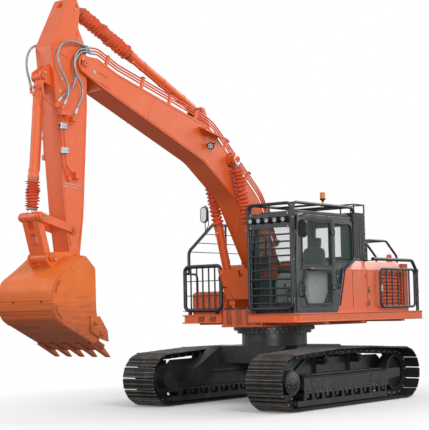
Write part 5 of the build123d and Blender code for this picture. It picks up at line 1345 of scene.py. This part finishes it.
def lamp_bracket(piece):
    """Wedge hood on the left side plate with a work lamp below it."""
    low, ahead = 0.209, (0.9, 0.2, -0.35)
    hood = ((2.26, 4.67), (1.68, 4.56), (1.7, 4.535), (2.25, 4.64))
    piece.loft(upright(hood, low) + upright([(x, z - 0.05) for x, z in hood], 0.36), PAINT)
    piece.loft(upright(((2.2, 4.63), (1.76, 4.545), (1.86, 4.36), (1.98, 4.33), (2.08, 4.4)),
                       low, low + 0.012), PAINT)
    piece.tube([(1.93, low, 4.4), (1.95, 0.27, 4.39), (1.99, 0.29, 4.37)], 0.014, PLASTIC)
    led(piece, (2.05, 0.29, 4.36), ahead, 0.06)
    piece.slab((1.99, 0.29, 4.4), ahead, Y, (0.07, 0.1, 0.02), PLASTIC, 0.004)
    piece.bolts((1.9, 2.04), (low + 0.012,), (4.5,), Y, 0.01, ZINC)


def arm_details():
    """Weld beads, the seam across the side plates and pale line clamps."""
    piece = Piece("arm_details")
    seam(piece, ARM_FRONT, 0.166, -0.03, 0, 0.005, 0.5)
    seam(piece, ARM_BACK, 0.166, 0.03, 0, 0.005, 0.5)
    for side in SIDES:
        y = side * 0.167
        for z in (3.52, 3.475):
            piece.tube([(5.285, y, z), (4.88, y, z - 0.035)], 0.0045, ZINC, 6)
        piece.tube([(5.5, y, 5.47), (5.03, y, 5.33), (4.98, y, 5.8)], 0.005, PAINT, 6, bend=0.15)
    for x, z in ((5.32, 4.345), (5.29, 3.99)):
        piece.slab((x, 0.206, z), X, Z, (0.13, 0.09, 0.05), ZINC, 0.008)
        piece.bolts((x - 0.035, x + 0.035), (0.231,), (z,), Y, 0.012, ZINC)
    for x, z in ((5.3, 5.05), (5.34, 4.86)):
        piece.bolt((x, 0.166, z), Y, 0.014, ZINC)
    piece.make("arm")


def bucket_details():
    """Wear strips, edge plates, tooth adapters, cutter bolts, and dark rubber discs as painted
    shade of drain holes.
    """
    piece = Piece("bucket_details")
    outer = [Vector((p.x, p.z)) for p in soften([(x, 0, z) for x, z in BUCKET_SIDE], 0.26, 9)]
    middle = Vector((5.37, 1.78))
    spans = []
    for a, b in zip(outer, outer[1:]):
        run = (b - a).normalized()
        inward = Vector((-run.y, run.x))
        spans.append((a, b, run, inward if inward.dot(middle - a) > 0 else -inward))
    for left in (1.32, 1.18, 1.04, 0.9):
        for a, b, run, inward in reversed(spans):
            if left <= (b - a).length:
                break
            left -= (b - a).length
        place = b - run * left - inward * 0.003
        piece.slab((place.x, 0, place.y), Y, (run.x, 0, run.y),
                   (2 * BUCKET_HALF - 0.02, 0.062, 0.016), BUCKET, 0.005)
    for side in SIDES:
        y = side * (BUCKET_HALF - 0.001)
        for a, b, run, inward in spans:
            piece.loft(upright([a + inward * 0.012, b + inward * 0.012, b + inward * 0.085,
                                a + inward * 0.085], y, y + side * 0.008), BUCKET)
        for x, z in ((5.075, 1.5), (4.965, 1.335)):
            piece.bolt((x, side * 0.587, z), (0, side, 0), 0.03, BUCKET, height=0.022)
    root = shrink([(5.15, 1.197), (4.975, 1.1), (4.925, 1.105), (4.93, 1.158), (5.02, 1.236)],
                  -0.007)
    for y in spaced(-0.53, 0.265, 5):
        piece.loft(upright(root, y - 0.055, y - 0.05, y + 0.05, y + 0.055), TOOTH)
        piece.rod((4.985, y - 0.062, 1.152), (4.985, y + 0.062, 1.152), 0.013, TOOTH)
    # flat dark rubber discs on the back of the bowl: painted shade standing for drain holes
    for y in (-0.24, 0.34):
        piece.turned([(0, 0.016), (0.003, 0.015)], (5.902, y, 1.8), X, RUBBER, 12, False)
    piece.make("bucket")


def rod_eye_bushings():
    """Painted bushing flanges on the rod eyes."""
    for name, body, (x, z), ys, radius in (
            ("boom", "boom_rods", BOOM_CYL_EYE, (-BOOM_CYL_Y, BOOM_CYL_Y), 0.084),
            ("arm", "arm_rod", ARM_CYL_EYE, (0,), 0.077),
            ("bucket", "bucket_rod", LINK_PIN, (0,), 0.07)):
        piece = Piece(name + "_eye_bushing")
        for y in ys:
            piece.turned([(-0.049, radius - 0.004), (-0.045, radius), (0.045, radius),
                          (0.049, radius - 0.004)], (x, y, z), Y, PAINT, 28)
        piece.make(body)


boom_details()
arm_details()
bucket_details()
rod_eye_bushings()


# ---------------------------------------------------------------- undercarriage details
def frame_trim():
    """Bolts, ribs and covers of the track frames and drives, and a bare strip as a painted
    highlight along each frame's top edge.
    """
    piece = Piece("undercarriage_trim")
    rollers = spaced(-4 * 0.292, 0.292, 9)
    for side in SIDES:
        middle, out = side * TRACK_Y, (0, side, 0)
        for face in SIDES:
            y = middle + face * 0.176
            for x, dy, z, size, mat, chamfer in (
                    (0, 0, 0.51, (2.6, 0.018, 0.012), ROLLER, 0.005),
                    # bare steel strip at the frame's top edge: a painted highlight of its
                    # bevelled edge
                    (0.05, -0.004, 0.556, (2.3, 0.011, 0.016), BARE, 0.003),
                    (0, 0, 0.3, (2.6, 0.014, 0.012), ROLLER, 0.005)):
                piece.slab((x, y + face * dy, z), X, Z, size, mat, chamfer)
            for x in rollers:
                piece.studs((x - 0.05, x + 0.05), (y,), (0.275,), (0, face, 0), 0.012, BARE)
        for end in SIDES:
            outline = [Vector((end * a, side * 1.167, b)) for a, b in (
                (0.5, 0.5), (1.52, 0.5), (1.62, 0.6), (1.6, 0.72), (1.5, 0.79), (0.62, 0.8),
                (0.5, 0.77))]
            piece.loft([outline, [p + Vector((0, side * 0.016, 0)) for p in outline]],
                       FRAME_BLACK)
        for x in rollers:
            piece.turned([(0, 0.034), (0.008, 0.03), (0.012, 0.016)],
                         (x, middle + side * 0.128, 0.223), out, BARE, 14, False)
        for x in (-CARRIER_X, CARRIER_X):
            piece.turned([(0, 0.04), (0.01, 0.036), (0.014, 0.02)],
                         (x, middle + side * 0.13, 0.77), out, ROLLER, 14, False)
        for x in (-0.9, 0.9):
            piece.slab((x, side * 1.522, 0.405), X, Z, (0.34, 0.15, 0.01), FRAME_BLACK, 0.004)
            piece.bolts((x - 0.14, x + 0.14), (side * 1.526,), (0.355, 0.455), out, 0.01, ROLLER)
        piece.rod((WHEEL_X, side * 1.594, WHEEL_Z), (WHEEL_X, side * 1.604, WHEEL_Z), 0.17,
                  FRAME_BLACK, 32)
        for p in ring_round(Vector((WHEEL_X, side * 1.604, WHEEL_Z)), Vector(X), Vector(Z),
                            0.15, 14):
            piece.stud(p, out, 0.009, BARE)
        for p in ring_round(Vector((WHEEL_X, side * 1.603, WHEEL_Z)), Vector(Z), Vector(X),
                            0.075, 3):
            piece.turned([(0, 0.014), (0.01, 0.012)], p, out, ROLLER, 8, False)
    piece.make("undercarriage")


def slew_bolts(name, body, radius, height, shift):
    piece = Piece(name)
    for i in range(44):
        a = 2 * math.pi * (i + shift) / 44
        out = Vector((math.cos(a), math.sin(a), 0))
        piece.stud(out * radius + Vector((0, 0, height)), out, 0.011, BARE)
    piece.make(body)


frame_trim()
slew_bolts("slew_bolts", "undercarriage", 0.654, 1.242, 0)
slew_bolts("slew_bolts_upper", "upper", 0.719, 1.305, 0.5)


# ---------------------------------------------------------------- stage, lights, camera
def stage():
    """White floor that shows white to the camera and keeps the object's shadow."""
    floor_mesh = bmesh.new()
    bmesh.ops.create_grid(floor_mesh, x_segments=1, y_segments=1, size=60)
    mesh = bpy.data.meshes.new("floor")
    floor_mesh.to_mesh(mesh)
    floor = bpy.data.objects.new("floor", mesh)
    bpy.context.collection.objects.link(floor)
    s = Shade("floor_paper", "f4f4f4", 0.95)
    s.stain("f0f0f0", 0.5, 0.4, 0.6, 0.7)
    mesh.materials.append(s.done(0.06, 9.0))
    glow = s.node("Emission", Strength=1.0)
    sight = s.node("LightPath").outputs["Is Camera Ray"]
    reach = s.node("VectorMath", "LENGTH")
    s.link(s.place, reach.inputs[0])
    far = s.ramp(reach.outputs["Value"], 2.6, 6.5, 0.15, 1.0)
    grey = s.node("BsdfDiffuse", Color=colour("8c8c8c"))

    def blend(amount, first, second):
        mix = s.node("MixShader")
        for socket, value in zip(mix.inputs, (amount, first, second)):
            s.link(value, socket)
        return mix.outputs[0]

    seen = blend(sight, grey.outputs[0], s.shader.outputs[0])
    surface = blend(s.math("MULTIPLY", far, sight), seen, glow.outputs[0])
    s.link(surface, s.tree.nodes["Material Output"].inputs["Surface"])
    floor.location.z = -0.002


def sky():
    """White to the camera, in gloss and through glass; a pale soft light otherwise."""
    world = bpy.data.worlds.new("studio")
    bpy.context.scene.world = world
    world.use_nodes = True
    tree = world.node_tree
    shade = tree.nodes["Background"]
    shade.inputs["Color"].default_value = (0.9, 0.94, 1.0, 1)
    shade.inputs["Strength"].default_value = 0.45
    white = new_node(tree, "Background", Color=(1, 1, 1, 1), Strength=1.0)
    rays = new_node(tree, "LightPath")
    mix = new_node(tree, "MixShader")
    amount = rays.outputs["Is Camera Ray"]
    for kind in ("Is Glossy Ray", "Is Transmission Ray"):
        either = new_node(tree, "Math", "MAXIMUM")
        tree.links.new(amount, either.inputs[0])
        tree.links.new(rays.outputs[kind], either.inputs[1])
        amount = either.outputs[0]
    for socket, value in zip(mix.inputs, (amount, shade.outputs[0], white.outputs[0])):
        tree.links.new(value, socket)
    tree.links.new(mix.outputs[0], tree.nodes["World Output"].inputs["Surface"])


def lamp(name, place, aim, size, power, tint=(1, 1, 1)):
    data = bpy.data.lights.new(name, "AREA")
    data.shape = "RECTANGLE"
    data.size, data.size_y = size
    data.energy = power
    data.color = tint
    obj = bpy.data.objects.new(name, data)
    bpy.context.collection.objects.link(obj)
    obj.location = place
    obj.rotation_euler = (Vector(aim) - Vector(place)).to_track_quat("-Z", "Y").to_euler()


SENSOR, FOCAL, FRAME_WIDTH = 36, 1182.566, 430


def camera():
    """Stands left of the front at eye height, looking slightly up."""
    data = bpy.data.cameras.new("camera")
    data.sensor_width = SENSOR
    data.lens = FOCAL * SENSOR / FRAME_WIDTH
    data.clip_end = 200
    obj = bpy.data.objects.new("camera", data)
    bpy.context.collection.objects.link(obj)
    yaw, pitch, roll = (math.radians(v) for v in (-140.826, 4.625, -1.11))
    ahead = Vector((math.cos(yaw) * math.cos(pitch), math.sin(yaw) * math.cos(pitch),
                    math.sin(pitch)))
    side = Vector((math.sin(yaw), -math.cos(yaw), 0))
    over = side.cross(ahead)
    right = math.cos(roll) * side + math.sin(roll) * over
    up = -math.sin(roll) * side + math.cos(roll) * over
    turn = Matrix((right, up, -ahead)).transposed().to_4x4()
    obj.matrix_world = Matrix.Translation((17.130, 12.630, 1.63)) @ turn
    bpy.context.scene.camera = obj


stage()
sky()
lamp("key", (7, 14, 13), (0, 0, 2.2), (7, 7), 1500, (1, 0.995, 0.99))
lamp("left_side", (-13, 14, 4.5), (0, 0, 2.5), (10, 7), 330, (0.97, 0.99, 1))
lamp("fill", (14, -6, 7), (0, 0, 2), (8, 6), 420, (0.95, 0.98, 1))
lamp("back", (-11, 4, 10), (0, 0, 2), (7, 6), 600)
lamp("front_low", (16, 10, 2.5), (0, 0, 1.5), (7, 4), 850)
camera()

bpy.context.scene.view_settings.view_transform = "Standard"
